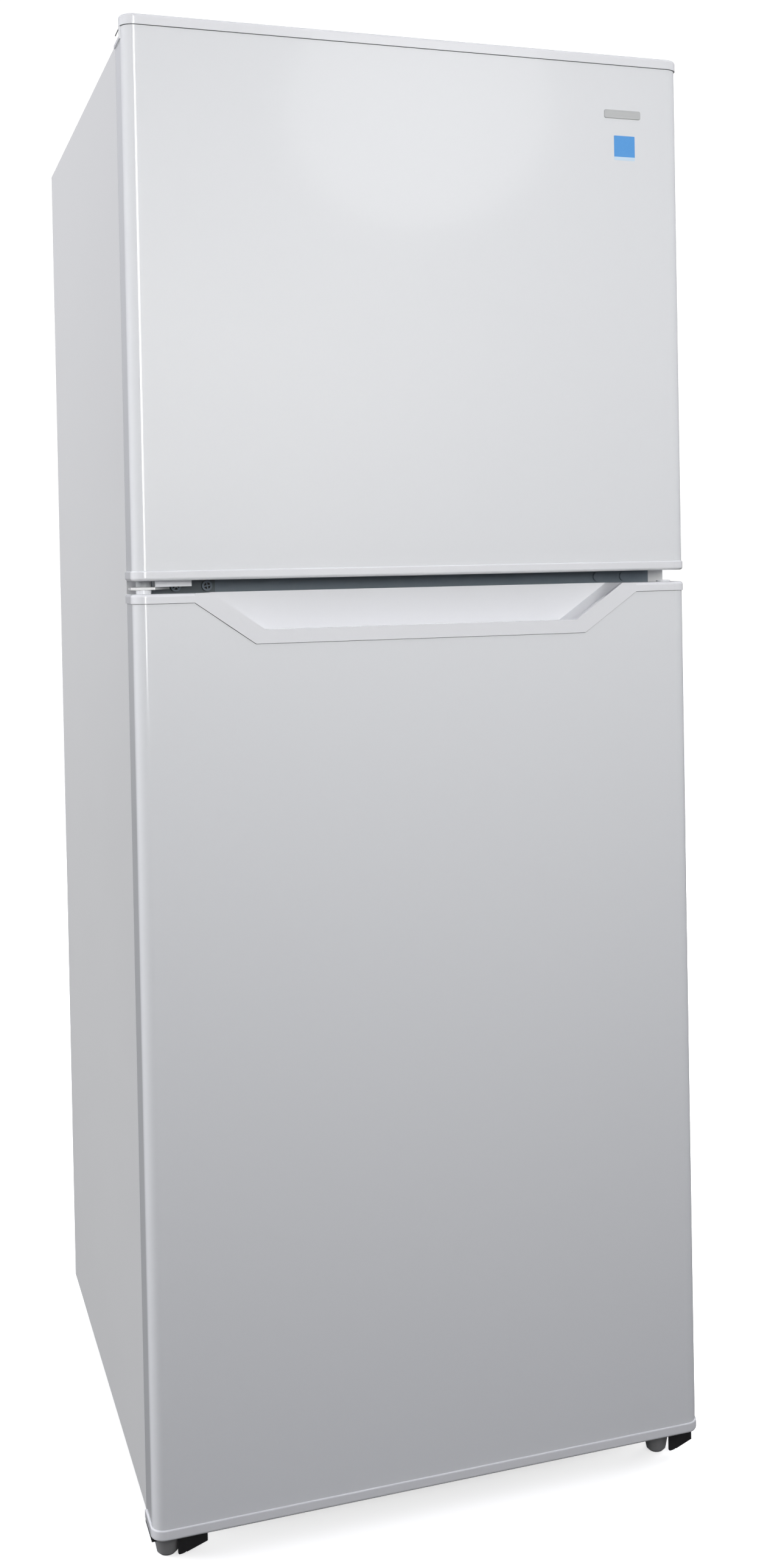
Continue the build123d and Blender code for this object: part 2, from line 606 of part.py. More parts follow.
def door_foam(which):
    low, top = SKIN_LOWS[which], SKIN_TOPS[which]
    core = door_block(SKIN_HALF - SHEET, SKIN_FRONT + SHEET, SKIN_BACK - SHEET, low, top, CORNER_R - SHEET)
    window = SKIN_HALF - FLANGE
    core += block(-window, window, SKIN_BACK - SHEET - EPS, SKIN_BACK, low, top)
    if which == "freezer":
        core -= notch_volume(RECESS_WALL)
        bush_low, bush_top = FREEZER_BOTTOM + PIN_REACH + 2.5, NOTCH_Z - PIN_REACH - 2.5
    else:
        core -= handle_block(0)
        bush_low, bush_top = DOOR_BOTTOM + PIN_REACH + 2.5, FRIDGE_TOP - PIN_REACH - 2.5
        core -= rod_z(-PIN_X, PIN_Y, bush_top, top + EPS, BUSH_R)
    core -= rod_z(PIN_X, PIN_Y, low - EPS, bush_low, BUSH_R)
    core -= rod_z(PIN_X, PIN_Y, bush_top, HEIGHT, BUSH_R)
    z0, z1 = RIDGE_SPANS[which]
    ridge = frame_xz(
        RIDGE_HALF - LINER, z0 + LINER, z1 - LINER, RIDGE_W - 2 * LINER, SKIN_BACK - EPS, RIDGE_BACK - LINER
    )
    return core + ridge


def door_liner(which):
    low, top = SKIN_LOWS[which], SKIN_TOPS[which]
    half = SKIN_HALF - SHEET
    plate = block(-half, half, SKIN_BACK, DOOR_BACK, low, top)
    z0, z1 = RIDGE_SPANS[which]
    ridge = frame_xz(RIDGE_HALF, z0, z1, RIDGE_W, DOOR_BACK - EPS, RIDGE_BACK)
    hollow = frame_xz(
        RIDGE_HALF - LINER, z0 + LINER, z1 - LINER, RIDGE_W - 2 * LINER, SKIN_BACK - EPS, RIDGE_BACK - LINER
    )
    liner = plate + ridge - hollow
    if which == "freezer":
        liner -= notch_volume(RECESS_WALL)
    return liner


def door_gasket(which):
    z0, z1 = GASKET_SPANS[which]
    return frame_xz(HALF - GASKET_INSET, z0, z1, GASKET_W, DOOR_BACK, CAB_FRONT - GASKET_CLEAR)


def door_bins(which, bins):
    half = RIDGE_HALF - RIDGE_W
    base = RIDGE_SPANS[which][0] + RIDGE_W
    y0 = DOOR_BACK + GASKET_CLEAR
    return [
        tray(-half, half, y0, DOOR_BACK + BIN_DEPTH, base + lift, base + lift + height, BIN_WALL)
        for lift, height in bins
    ]


def end_cap(z0, z1, rounded_top):
    """A moulded cap across a door's end, with its outer edge rounded."""
    cap = door_block(HALF, FRONT, DOOR_BACK, z0, z1, CORNER_R + CAP_PROUD)
    rim = cap.edges().group_by(Axis.Z)[-1 if rounded_top else 0]
    rim = rim.filter_by(lambda e: e.center().Y < DOOR_BACK - EPS / 2)
    return fillet(rim, CAP_EDGE_R)


def freezer_top_cap():
    cap = end_cap(SKIN_TOPS["freezer"], HEIGHT, True)
    pocket = block(
        -HALF, -HALF + NOTCH_W + RECESS_WALL, FRONT + NOTCH_FRONT - RECESS_WALL, DOOR_BACK,
        NOTCH_Z - RECESS_WALL, SKIN_TOPS["freezer"] + EPS,
    )
    cap = cap + pocket - notch_volume()
    return cap - rod_z(PIN_X, PIN_Y, NOTCH_Z - RECESS_WALL - EPS, NOTCH_Z + EPS, BUSH_R)


def freezer_bottom_cap():
    cap = end_cap(FREEZER_BOTTOM, SKIN_LOWS["freezer"], False)
    return cap - rod_z(PIN_X, PIN_Y, FREEZER_BOTTOM - EPS, SKIN_LOWS["freezer"] + EPS, BUSH_R)


def fridge_bottom_cap():
    cap = end_cap(DOOR_BOTTOM, SKIN_LOWS["fridge"], False)
    return cap - rod_z(PIN_X, PIN_Y, DOOR_BOTTOM - EPS, SKIN_LOWS["fridge"] + EPS, BUSH_R)


def handle_trim():
    trim = end_cap(SKIN_TOPS["fridge"], FRIDGE_TOP, True) + handle_block(0)
    opening = outline_xz(recess_outline(LIP_H, RECESS_BACK_IN * 0.8), FRONT - EPS, FRONT + LIP_T + EPS)
    front_face = make_face(
        Polyline(*[(x, FRONT + LIP_T, z) for x, z in recess_outline(LIP_H - HOOK_DEPTH, 12.0)], close=True)
    )
    back_points = recess_outline(LIP_H - HOOK_DEPTH + 2.0, 12.0 + RECESS_BACK_IN)
    back_face = make_face(Polyline(*[(x, FRONT + RECESS_DEPTH, z) for x, z in back_points], close=True))
    hollow = loft([front_face, back_face])
    trim = trim - opening - hollow
    trim -= rod_z(PIN_X, PIN_Y, SKIN_TOPS["fridge"] - EPS, FRIDGE_TOP + EPS, BUSH_R)
    return trim - rod_z(-PIN_X, PIN_Y, SKIN_TOPS["fridge"] - EPS, FRIDGE_TOP + EPS, BUSH_R)


def bush(z_face, up, land):
    """A flanged bush: the sleeve enters the door from z_face, the flange rests on the hinge plate."""
    way = 1 if up else -1
    sleeve_end = z_face + way * (PIN_REACH + 2.5)
    z0, z1 = sorted((z_face, sleeve_end))
    flange0, flange1 = sorted((z_face, z_face - way * land))
    body = rod_z(PIN_X, PIN_Y, z0, z1, BUSH_R) + rod_z(PIN_X, PIN_Y, flange0, flange1, BUSH_FLANGE_R)
    bore_end = sleeve_end - way * 1.5
    bore0, bore1 = sorted((z_face - way * (land + EPS), bore_end))
    return body - rod_z(PIN_X, PIN_Y, bore0, bore1, PIN_R + PIN_FIT)


def freezer_bushes():
    lower = bush(FREEZER_BOTTOM, True, FREEZER_BOTTOM - MID_PLATE_TOP - BUSH_LAND)
    upper = bush(NOTCH_Z, False, NOTCH_FLOOR - BUSH_LAND)
    return lower, upper


def fridge_bushes():
    lower = bush(DOOR_BOTTOM, True, DOOR_BOTTOM - BRACKET_TOP - BUSH_LAND)
    upper = bush(FRIDGE_TOP, False, MID_PLATE_LOW - FRIDGE_TOP - BUSH_LAND)
    return lower, upper


def door_stop():
    x0 = PIN_X + 10
    return block(x0, x0 + 36, PIN_Y - 8, PIN_Y + 8, MID_PLATE_TOP + BUSH_LAND, FREEZER_BOTTOM)


def hinge_hole_plug():
    dome = rod_z(-PIN_X, PIN_Y, FRIDGE_TOP, FRIDGE_TOP + 1.6, BUSH_FLANGE_R)
    return dome + rod_z(-PIN_X, PIN_Y, FRIDGE_TOP - 12, FRIDGE_TOP, BUSH_R)


# ------------------------------------------------------------------ inside the freezer


def evaporator_cover():
    half = CAVITY_HALF - SIDE_CLEAR / 2
    cover = block(
        -half, half, EVAPORATOR_FACE, EVAPORATOR_FACE + COVER_T,
        FREEZER_FLOOR, FREEZER_CEILING - SIDE_CLEAR / 2,
    )
    for i in range(-4, 5):
        z = FAN_Z + i * 10.0
        reach = math.sqrt(max((FAN_R + 2) ** 2 - (i * 10.0) ** 2, 0))
        slot = block(
            FAN_X - reach, FAN_X + reach, EVAPORATOR_FACE - EPS, EVAPORATOR_FACE + COVER_T + EPS,
            z - 2.5, z + 2.5,
        )
        cover -= slot
    for i in range(-5, 6):
        x = i * 38.0
        cover -= block(
            x - 13, x + 13, EVAPORATOR_FACE - EPS, EVAPORATOR_FACE + COVER_T + EPS,
            FREEZER_FLOOR + 14, FREEZER_FLOOR + 20,
        )
    y0, y1 = EVAPORATOR_FACE - EPS, EVAPORATOR_FACE + COVER_T + EPS
    return cover - rod_y(AIR_KNOB_X, AIR_KNOB_Z, y0, y1, SHAFT_R + SHAFT_FIT)


def evaporator_coil():
    y0 = EVAPORATOR_FACE + COVER_T + 14
    y1 = CAVITY_BACK - 4
    z0, z1 = FREEZER_FLOOR + 30, FREEZER_FLOOR + 190
    coil = None
    for i in range(FINS):
        x = (i - (FINS - 1) / 2) * FIN_PITCH
        fin = block(x - 0.4, x + 0.4, y0, y1, z0, z1)
        coil = fin if coil is None else coil + fin
    for row in range(COIL_ROWS):
        for y in (y0 + 10, y1 - 10):
            coil += rod_x(y, z0 + 18 + row * 31, -206, 206, 4.0)
    for row in range(COIL_ROWS):
        z = z0 + 18 + row * 31
        for x in (-204, 204):
            coil += block(x - 2, x + 2, y0 + 10, y1 - 10, z - 3, z + 3)
    return coil


def fan_blades():
    hub = rod_y(FAN_X, FAN_Z, FAN_Y, FAN_Y + FAN_T, HUB_R)
    fan = hub
    for i in range(BLADES):
        blade = Pos(0, 0, (HUB_R + FAN_R) / 2 - 2) * Rot(0, 0, 35) * Box(26, 1.6, FAN_R - HUB_R + 4)
        blade = Pos(FAN_X, FAN_Y + FAN_T / 2, FAN_Z) * Rot(0, i * 360 / BLADES, 0) * blade
        fan += blade
    fan = fan & rod_y(FAN_X, FAN_Z, FAN_Y, FAN_Y + FAN_T, FAN_R)
    return fan - rod_y(FAN_X, FAN_Z, FAN_Y + 4, FAN_Y + FAN_T + EPS, SHAFT_R + SHAFT_FIT)


def fan_motor():
    y0 = FAN_Y + FAN_T + 2
    shaft = rod_y(FAN_X, FAN_Z, FAN_Y + 5, y0 + EPS, SHAFT_R)
    can = rod_y(FAN_X, FAN_Z, y0, y0 + 26, 24)
    strap = block(FAN_X - 62, FAN_X + 62, y0 + 20, y0 + 24, FAN_Z - 8, FAN_Z + 8)
    back = CAVITY_BACK
    legs = [
        block(FAN_X + s * 58 - 4, FAN_X + s * 58 + 4, y0 + 20, back, FAN_Z - 8, FAN_Z + 8) for s in (-1, 1)
    ]
    return shaft + can + strap + legs[0] + legs[1]


def knob_y(x, z, face, radius, thick, shaft_end):
    """A round knob that faces the doors, with a grip rib and a shaft that goes back through a wall."""
    body = rod_y(x, z, face - 0.4 - thick * 0.45, face - 0.4, radius)
    grip = block(x - 3.2, x + 3.2, face - 0.4 - thick, face - thick * 0.4, z - radius + 1, z + radius - 1)
    return body + grip + rod_y(x, z, face - 0.5, shaft_end, SHAFT_R)


def airflow_knob():
    return knob_y(AIR_KNOB_X, AIR_KNOB_Z, EVAPORATOR_FACE, KNOB_R, KNOB_T, EVAPORATOR_FACE + COVER_T + 6)


def freezer_shelf():
    """A wire rack: two side rails, three cross bars and a row of wires."""
    half = CAVITY_HALF - SIDE_CLEAR
    y0 = CAB_FRONT + SHELF_FRONT + 2
    y1 = EVAPORATOR_FACE - 4
    z = FREEZER_SHELF_Z + 3.0
    rack = None
    for y in (y0 + 3, (y0 + y1) / 2, y1 - 3):
        bar = rod_x(y, z, -half, half, 3.0)
        rack = bar if rack is None else rack + bar
    count = 20
    for i in range(count + 1):
        x = -half + 6 + i * (2 * half - 12) / count
        rack += rod_y(x, z + 3.6, y0, y1, 1.6)
    return rack


# ------------------------------------------------------------------ inside the refrigerator


def control_box():
    box = block(
        -CONTROL_HALF, CONTROL_HALF, CONTROL_Y, CONTROL_Y + CONTROL_DEPTH, CONTROL_LOW, FRIDGE_CEILING
    )
    box -= block(
        -CONTROL_HALF + 2, CONTROL_HALF - 2, CONTROL_Y + 2, CONTROL_Y + CONTROL_DEPTH - 2,
        CONTROL_LOW + 2, FRIDGE_CEILING + EPS,
    )
    box -= lamp_lens()
    return box - rod_y(DIAL_X, CONTROL_MID, CONTROL_Y - EPS, CONTROL_Y + 3, SHAFT_R + SHAFT_FIT)


def lamp_lens():
    y0, y1 = CONTROL_Y + LENS_EDGE, CONTROL_Y + CONTROL_DEPTH - LENS_EDGE
    return block(*LENS_X, y0, y1, CONTROL_LOW, CONTROL_LOW + 2)


def lamp():
    y, z = CONTROL_Y + CONTROL_DEPTH / 2, CONTROL_MID
    left = -CONTROL_HALF + 2
    socket = block(left, left + 22, y - 12, y + 12, z - 12, z + 12)
    neck = rod_x(y, z, left + 22, left + 38, 7)
    bulb = Pos(left + 48, y, z) * Sphere(13)
    return socket + neck + bulb


def thermostat_dial():
    return knob_y(DIAL_X, CONTROL_MID, CONTROL_Y, DIAL_R, DIAL_T, CONTROL_Y + 14)


def switch_housing():
    housing = block(
        SWITCH_X - 13, SWITCH_X + 13, SWITCH_Y, SWITCH_Y + SWITCH_DEPTH, PLUNGER_Z - 10, FRIDGE_CEILING
    )
    return housing - rod_y(SWITCH_X, PLUNGER_Z, SWITCH_Y - EPS, SWITCH_Y + 30, PLUNGER_R + PLUNGER_FIT)


def switch_plunger():
    rod = rod_y(SWITCH_X, PLUNGER_Z, RIDGE_BACK + BUSH_LAND, SWITCH_Y + 29, PLUNGER_R)
    return fillet(rod.edges().group_by(Axis.Y)[0], 1.5)


def glass_shelves():
    half = CAVITY_HALF - SIDE_CLEAR
    y0, y1 = CAB_FRONT + SHELF_FRONT, CAVITY_BACK - 6
    return [block(-half, half, y0, y1, z, z + SHELF_T) for z in SHELF_Z]


def crisper_cover():
    half = CAVITY_HALF - SIDE_CLEAR
    y0, y1 = CAB_FRONT + SHELF_FRONT, CAVITY_BACK - 6
    glass = block(-half, half, y0, y1, STEP_TOP, STEP_TOP + SHELF_T)
    lip = block(-half, half, y0 - 6, y0, STEP_TOP - 6, STEP_TOP + SHELF_T + 2)
    return glass + lip


def crisper_drawer():
    half = CAVITY_HALF - SIDE_CLEAR - LEDGE
    y0 = CAB_FRONT + CRISPER_FRONT
    y1 = STEP_FRONT - SIDE_CLEAR
    z0, z1 = FRIDGE_FLOOR + CRISPER_LIFT, STEP_TOP - 16
    drawer = tray(-half, half, y0, y1, z0, z1, TRAY_WALL)
    pull = block(-90, 90, y0 - 10, y0 + TRAY_WALL, z1 - 34, z1 - 4)
    pull -= block(-88, 88, y0 - 8, y0 + EPS / 4, z1 - 36, z1 - 8)
    return drawer + pull


# ------------------------------------------------------------------ cooling parts in the bay


def compressor():
    can = rod_z(COMPRESSOR_X, COMPRESSOR_Y, COMPRESSOR_LOW, COMPRESSOR_LOW + COMPRESSOR_H, COMPRESSOR_R)
    can = fillet(can.edges().group_by(Axis.Z)[-1], 26)
    seam = rod_z(COMPRESSOR_X, COMPRESSOR_Y, COMPRESSOR_LOW + 48, COMPRESSOR_LOW + 54, COMPRESSOR_R + 3)
    plate = block(
        COMPRESSOR_X - GROMMET_X - 14, COMPRESSOR_X + GROMMET_X + 14, COMPRESSOR_Y - GROMMET_Y - 14,
        COMPRESSOR_Y + GROMMET_Y + 14, COMPRESSOR_LOW - 3, COMPRESSOR_LOW + 1,
    )
    body = can + seam + plate
    for x, y in grommet_places():
        body -= rod_z(x, y, COMPRESSOR_LOW - 4, COMPRESSOR_LOW + 2, 5)
    return body


def grommet_places():
    signs = [(sx, sy) for sx in (-1, 1) for sy in (-1, 1)]
    return [(COMPRESSOR_X + sx * GROMMET_X, COMPRESSOR_Y + sy * GROMMET_Y) for sx, sy in signs]


def compressor_grommets():
    low = CABINET_BOTTOM + BASE_SHEET
    plate_low = COMPRESSOR_LOW - 3
    return [
        rod_z(x, y, low, plate_low, 10) + rod_z(x, y, plate_low, COMPRESSOR_LOW + 1, 5)
        + rod_z(x, y, COMPRESSOR_LOW + 1, COMPRESSOR_LOW + 6, 9)
        for x, y in grommet_places()
    ]


def start_relay():
    x0 = COMPRESSOR_X - COMPRESSOR_R - 34
    return block(
        x0, COMPRESSOR_X - COMPRESSOR_R + 4, COMPRESSOR_Y - 24, COMPRESSOR_Y + 24, COMPRESSOR_LOW + 10,
        COMPRESSOR_LOW + 54,
    ) - rod_z(COMPRESSOR_X, COMPRESSOR_Y, COMPRESSOR_LOW, COMPRESSOR_LOW + COMPRESSOR_H, COMPRESSOR_R + 3)


def bent_pipe(points, radius, bend):
    """A round pipe along straight runs joined by tangent bends."""
    path = FilletPolyline(*points, radius=bend)
    plane = Plane(origin=path @ 0, z_dir=path % 0)
    return sweep(plane * Circle(radius), path=path)


def refrigerant_pipes():
    roof = BAY_TOP - BASE_SHEET
    mid = COMPRESSOR_LOW + 84
    y = COMPRESSOR_Y
    x = COMPRESSOR_X
    suction = bent_pipe(
        [(x - COMPRESSOR_R, y, mid), (x - COMPRESSOR_R - 60, y, mid), (x - COMPRESSOR_R - 60, y, roof)],
        PIPE_R, PIPE_BEND,
    )
    far = -CAVITY_HALF + 60
    discharge = bent_pipe(
        [
            (x - COMPRESSOR_R, y, mid - 18), (x - COMPRESSOR_R - 90, y, mid - 18),
            (x - COMPRESSOR_R - 90, y - 40, mid - 18), (far, y - 40, mid - 18), (far, y - 40, roof),
        ],
        PIPE_R, PIPE_BEND,
    )
    drier = rod_x(y - 40, mid - 18, far + 50, far + 140, 9.5)
    return [suction, discharge + drier]


def drip_pan():
    z0 = COMPRESSOR_LOW + COMPRESSOR_H
    x0, x1 = COMPRESSOR_X - 70, COMPRESSOR_X + 70
    pan = tray(x0, x1, COMPRESSOR_Y - 56, COMPRESSOR_Y + 56, z0, z0 + 26, 2.0)
    return pan


def rear_cover():
    half = CAB_HALF - 10
    low = CABINET_BOTTOM + 2
    top = BAY_TOP + 16
    cover = block(-half, half, CAB_BACK, CAB_BACK + 2, low, top)
    rim = frame_xz(half, low, top, 6, CAB_BACK, BACK)
    cover += rim
    for row in range(7):
        for x in (-150, 0, 150):
            z = CABINET_BOTTOM + 44 + row * 22
            cover -= block(x - 52, x + 52, CAB_BACK - EPS, CAB_BACK + 3, z, z + 6)
    for x, z in COVER_SCREWS:
        cover -= rod_y(x, z, CAB_BACK - EPS, CAB_BACK + 3, SCREW_R)
    return cover - rod_y(GLAND_X, GLAND_Z, CAB_BACK - EPS, BACK + EPS, GLAND_R)


def cord_inlet():
    ring = rod_y(GLAND_X, GLAND_Z, CAB_BACK - 4, BACK - 1, GLAND_R) + rod_y(
        GLAND_X, GLAND_Z, CAB_BACK + 2, CAB_BACK + 4.5, GLAND_R + 3
    )
    return ring - rod_y(GLAND_X, GLAND_Z, CAB_BACK - 5, BACK + EPS, CORD_HOLE_R)


# ------------------------------------------------------------------ running gear
def levelling_foot(x):
    y = FRONT + FOOT_Y_IN
    profile = make_face(
        Polyline(
            (0, 0, 0), (FOOT_LOW_R, 0, 0), (FOOT_LOW_R + 2.5, 0, 2.5), (FOOT_TOP_R - 2, 0, FOOT_H - 6),
            (FOOT_TOP_R, 0, FOOT_H), (0, 0, FOOT_H), close=True,
        )
    )
    foot = revolve(profile, axis=Axis.Z)
    for i in range(FOOT_RIBS):
        turn = Rot(0, 0, i * 360 / FOOT_RIBS)
        groove = turn * Pos(FOOT_TOP_R + 0.6, 0, FOOT_H / 2 + 3) * Cylinder(1.5, FOOT_H)
        foot -= groove
    return Pos(x, y, 0) * (foot + rod_z(0, 0, FOOT_H - 1, BRACKET_TOP - STUD_SHORT, STUD_R))


def rear_roller(side):
    y = CAB_BACK - ROLLER_BACK
    x = side * ROLLER_X
    wheel = rod_x(y, ROLLER_R, x - ROLLER_W / 2, x + ROLLER_W / 2, ROLLER_R)
    wheel = chamfer(wheel.edges(), 1.2)
    return wheel - rod_x(y, ROLLER_R, x - ROLLER_W, x + ROLLER_W, AXLE_R + SHAFT_FIT)


def roller_axles():
    y = CAB_BACK - ROLLER_BACK
    reach = ROLLER_W / 2 + 5.5
    return [rod_x(y, ROLLER_R, s * ROLLER_X - reach, s * ROLLER_X + reach, AXLE_R) for s in (-1, 1)]


# ------------------------------------------------------------------ write every node
pan = base_frame()
save("cabinet_shell", cabinet_shell())
save("back_panel", back_panel())
save("base_frame", pan)
save("compressor_bay_panel", bay_panel())
save("cabinet_foam", cabinet_foam(pan))
save("freezer_liner", freezer_liner())
save("refrigerator_liner", fridge_liner())
save("mullion_bar", mullion_bar())
save("top_hinge", top_hinge())
save("top_hinge_cover", top_hinge_cover())
save("middle_hinge", middle_hinge())
save("bottom_hinge", front_bracket(-1, True))
save("foot_bracket", front_bracket(1, False))
save("cabinet_screws", *cabinet_screws())
save("hole_plugs", *hole_plugs())
save("compressor", compressor())
save("compressor_grommets", *compressor_grommets())
save("start_relay", start_relay())
save("refrigerant_pipes", *refrigerant_pipes())
save("drip_pan", drip_pan())
save("rear_cover", rear_cover())
save("cord_inlet", cord_inlet())
save("roller_axles", *roller_axles())
save("evaporator_cover", evaporator_cover())
save("evaporator_coil", evaporator_coil())
save("fan_motor", fan_motor())
save("evaporator_fan", fan_blades())
save("airflow_knob", airflow_knob())
save("freezer_shelf", freezer_shelf())
save("control_box", control_box())
save("lamp", lamp())
save("lamp_lens", lamp_lens())
save("thermostat_dial", thermostat_dial())
save("light_switch_housing", switch_housing())
save("light_switch_plunger", switch_plunger())
save("refrigerator_shelves", *glass_shelves())
save("crisper_cover", crisper_cover())
save("crisper_drawer", crisper_drawer())
save("levelling_foot_left", levelling_foot(FOOT_LEFT_X))
save("levelling_foot_right", levelling_foot(FOOT_RIGHT_X))
save("rear_roller_left", rear_roller(-1))
save("rear_roller_right", rear_roller(1))
for door in ("freezer", "fridge"):
    name = "freezer_door" if door == "freezer" else "refrigerator_door"
    save(f"{name}_skin", door_skin(door))
    save(f"{name}_foam", door_foam(door))
    save(f"{name}_liner", door_liner(door))
    save(f"{name}_gasket", door_gasket(door))
save("freezer_door_top_cap", freezer_top_cap())
save("freezer_door_bottom_cap", freezer_bottom_cap())
save("freezer_door_bins", *door_bins("freezer", FREEZER_BINS))
save("freezer_door_bushes", *freezer_bushes())
save("freezer_door_stop", door_stop())
save("handle_trim", handle_trim())
save("refrigerator_door_bottom_cap", fridge_bottom_cap())
save("refrigerator_door_bins", *door_bins("fridge", FRIDGE_BINS))
save("refrigerator_door_bushes", *fridge_bushes())
save("hinge_hole_plug", hinge_hole_plug())
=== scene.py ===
"""Looks for the top freezer refrigerator: finishes for its parts, small fittings, light, floor and camera."""

import json
import math

import bmesh
import bpy
from mathutils import Matrix, Vector

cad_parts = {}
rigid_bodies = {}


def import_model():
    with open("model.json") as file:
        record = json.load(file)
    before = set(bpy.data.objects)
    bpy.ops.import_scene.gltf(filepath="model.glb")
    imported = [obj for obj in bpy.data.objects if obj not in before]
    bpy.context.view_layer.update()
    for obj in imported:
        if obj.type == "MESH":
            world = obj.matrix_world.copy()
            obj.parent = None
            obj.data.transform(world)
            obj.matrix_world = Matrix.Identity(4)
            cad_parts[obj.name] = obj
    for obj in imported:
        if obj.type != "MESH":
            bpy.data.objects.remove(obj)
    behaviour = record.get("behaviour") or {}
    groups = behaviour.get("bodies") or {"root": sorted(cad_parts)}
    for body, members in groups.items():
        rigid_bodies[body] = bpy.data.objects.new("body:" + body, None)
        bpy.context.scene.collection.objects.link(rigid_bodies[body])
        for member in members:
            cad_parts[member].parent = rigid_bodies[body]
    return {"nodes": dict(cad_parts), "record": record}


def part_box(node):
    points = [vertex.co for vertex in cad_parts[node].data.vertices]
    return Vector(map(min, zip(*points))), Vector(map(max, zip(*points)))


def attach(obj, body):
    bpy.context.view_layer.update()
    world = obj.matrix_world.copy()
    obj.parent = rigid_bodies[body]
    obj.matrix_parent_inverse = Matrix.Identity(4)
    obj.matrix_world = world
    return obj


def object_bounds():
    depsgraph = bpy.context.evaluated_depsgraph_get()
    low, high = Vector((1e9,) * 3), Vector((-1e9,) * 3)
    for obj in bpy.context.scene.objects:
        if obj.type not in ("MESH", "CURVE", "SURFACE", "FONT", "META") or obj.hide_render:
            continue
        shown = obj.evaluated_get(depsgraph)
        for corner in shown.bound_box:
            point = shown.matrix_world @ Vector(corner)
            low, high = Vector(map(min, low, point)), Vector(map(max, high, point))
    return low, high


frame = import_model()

cad_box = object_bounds()
nodes = frame["nodes"]
record = frame["record"]
MM = 0.001


# ------------------------------------------------------------------ shader maths
class Signal:
    """One node socket; adding, multiplying and so on adds Math nodes."""

    def __init__(self, finish, socket):
        self.finish = finish
        self.socket = socket

    def _maths(self, operation, first, second):
        return self.finish.node("ShaderNodeMath", {"operation": operation}, {0: first, 1: second})

    def __add__(self, other):
        return self._maths("ADD", self, other)

    __radd__ = __add__

    def __sub__(self, other):
        return self._maths("SUBTRACT", self, other)

    def __rsub__(self, other):
        return self._maths("SUBTRACT", other, self)

    def __mul__(self, other):
        return self._maths("MULTIPLY", self, other)

    __rmul__ = __mul__

    def __truediv__(self, other):
        return self._maths("DIVIDE", self, other)

    def __rtruediv__(self, other):
        return self._maths("DIVIDE", other, self)

    def __pow__(self, other):
        return self._maths("POWER", self, other)


class Finish:
    """A node material for one of the refrigerator's surfaces."""

    def __init__(self, name):
        self.material = bpy.data.materials.new(name)
        self.material.use_nodes = True
        self.tree = self.material.node_tree
        self.tree.nodes.clear()
        self.place = self.node("ShaderNodeTexCoord", out="Object")

    def node(self, kind, settings=None, values=None, out=0):
        made = self.tree.nodes.new(kind)
        for key, value in (settings or {}).items():
            if key == "stops":
                ramp = made.color_ramp
                while len(ramp.elements) < len(value):
                    ramp.elements.new(0.5)
                for element, (position, colour) in zip(ramp.elements, value):
                    element.position = position
                    element.color = (*colour, 1)
            else:
                setattr(made, key, value)
        for key, value in (values or {}).items():
            if isinstance(value, Signal):
                self.tree.links.new(value.socket, made.inputs[key])
            elif isinstance(value, tuple) and len(value) == 3 and len(made.inputs[key].default_value) == 4:
                made.inputs[key].default_value = (*value, 1)
            else:
                made.inputs[key].default_value = value
        return Signal(self, made.outputs[out])

    def noise(self, scale, detail=3.0, stretch=None):
        where = self.place
        if stretch:
            where = self.node("ShaderNodeMapping", {}, {"Vector": where, "Scale": stretch})
        return self.node("ShaderNodeTexNoise", {}, {"Vector": where, "Scale": scale, "Detail": detail})

    def cells(self, scale, out="Color"):
        return self.node("ShaderNodeTexVoronoi", {}, {"Vector": self.place, "Scale": scale}, out)

    def ramp(self, signal, *stops):
        return self.node("ShaderNodeValToRGB", {"stops": stops}, {0: signal})

    def mix(self, mask, first, second):
        return self.node(
            "ShaderNodeMix", {"data_type": "RGBA"}, {"Factor": mask, 6: first, 7: second}, 2
        )

    def bump(self, height, depth_mm, strength=1.0):
        values = {"Height": height, "Distance": depth_mm * MM, "Strength": strength}
        return self.node("ShaderNodeBump", {}, values)

    def surface(self, **values):
        names = {key.replace("_", " ").title().replace("Ior", "IOR"): value for key, value in values.items()}
        shader = self.node("ShaderNodeBsdfPrincipled", {}, names)
        end = self.tree.nodes.new("ShaderNodeOutputMaterial")
        self.tree.links.new(shader.socket, end.inputs["Surface"])
        return self.material


# ------------------------------------------------------------------ finishes
def enamel(name, light, dark, rough, coat, peel):
    """Baked enamel on sheet steel: a trace of tone drift, a fine orange peel and a clear gloss."""
    f = Finish(name)
    drift = f.noise(1.1, 2.0)
    peeled = f.noise(90.0, 1.0)
    smears = f.noise(14.0, 4.0)
    return f.surface(
        base_color=f.mix(drift, dark, light), roughness=rough + 0.05 * smears, coat_weight=coat,
        coat_roughness=0.05, normal=f.bump(peeled, peel),
    )


def moulding(name, light, dark, rough, grain, coat=0.0):
    """Injection moulded plastic with a fine spark-eroded grain."""
    f = Finish(name)
    tone = f.noise(6.0, 2.0)
    texture = f.noise(900.0, 2.0)
    return f.surface(
        base_color=f.mix(tone, dark, light), roughness=rough + 0.08 * texture, coat_weight=coat,
        normal=f.bump(texture, grain),
    )


def vacuum_formed(name):
    """Glossy liner sheet, a little wavy where it was drawn over the tool."""
    f = Finish(name)
    wave = f.noise(9.0, 2.0)
    speck = f.noise(420.0, 1.0)
    return f.surface(
        base_color=f.mix(wave, (0.78, 0.79, 0.79), (0.84, 0.845, 0.84)), roughness=0.24 + 0.06 * speck,
        normal=f.bump(wave, 0.5, 0.5), subsurface_weight=0.05, subsurface_scale=0.004,
    )


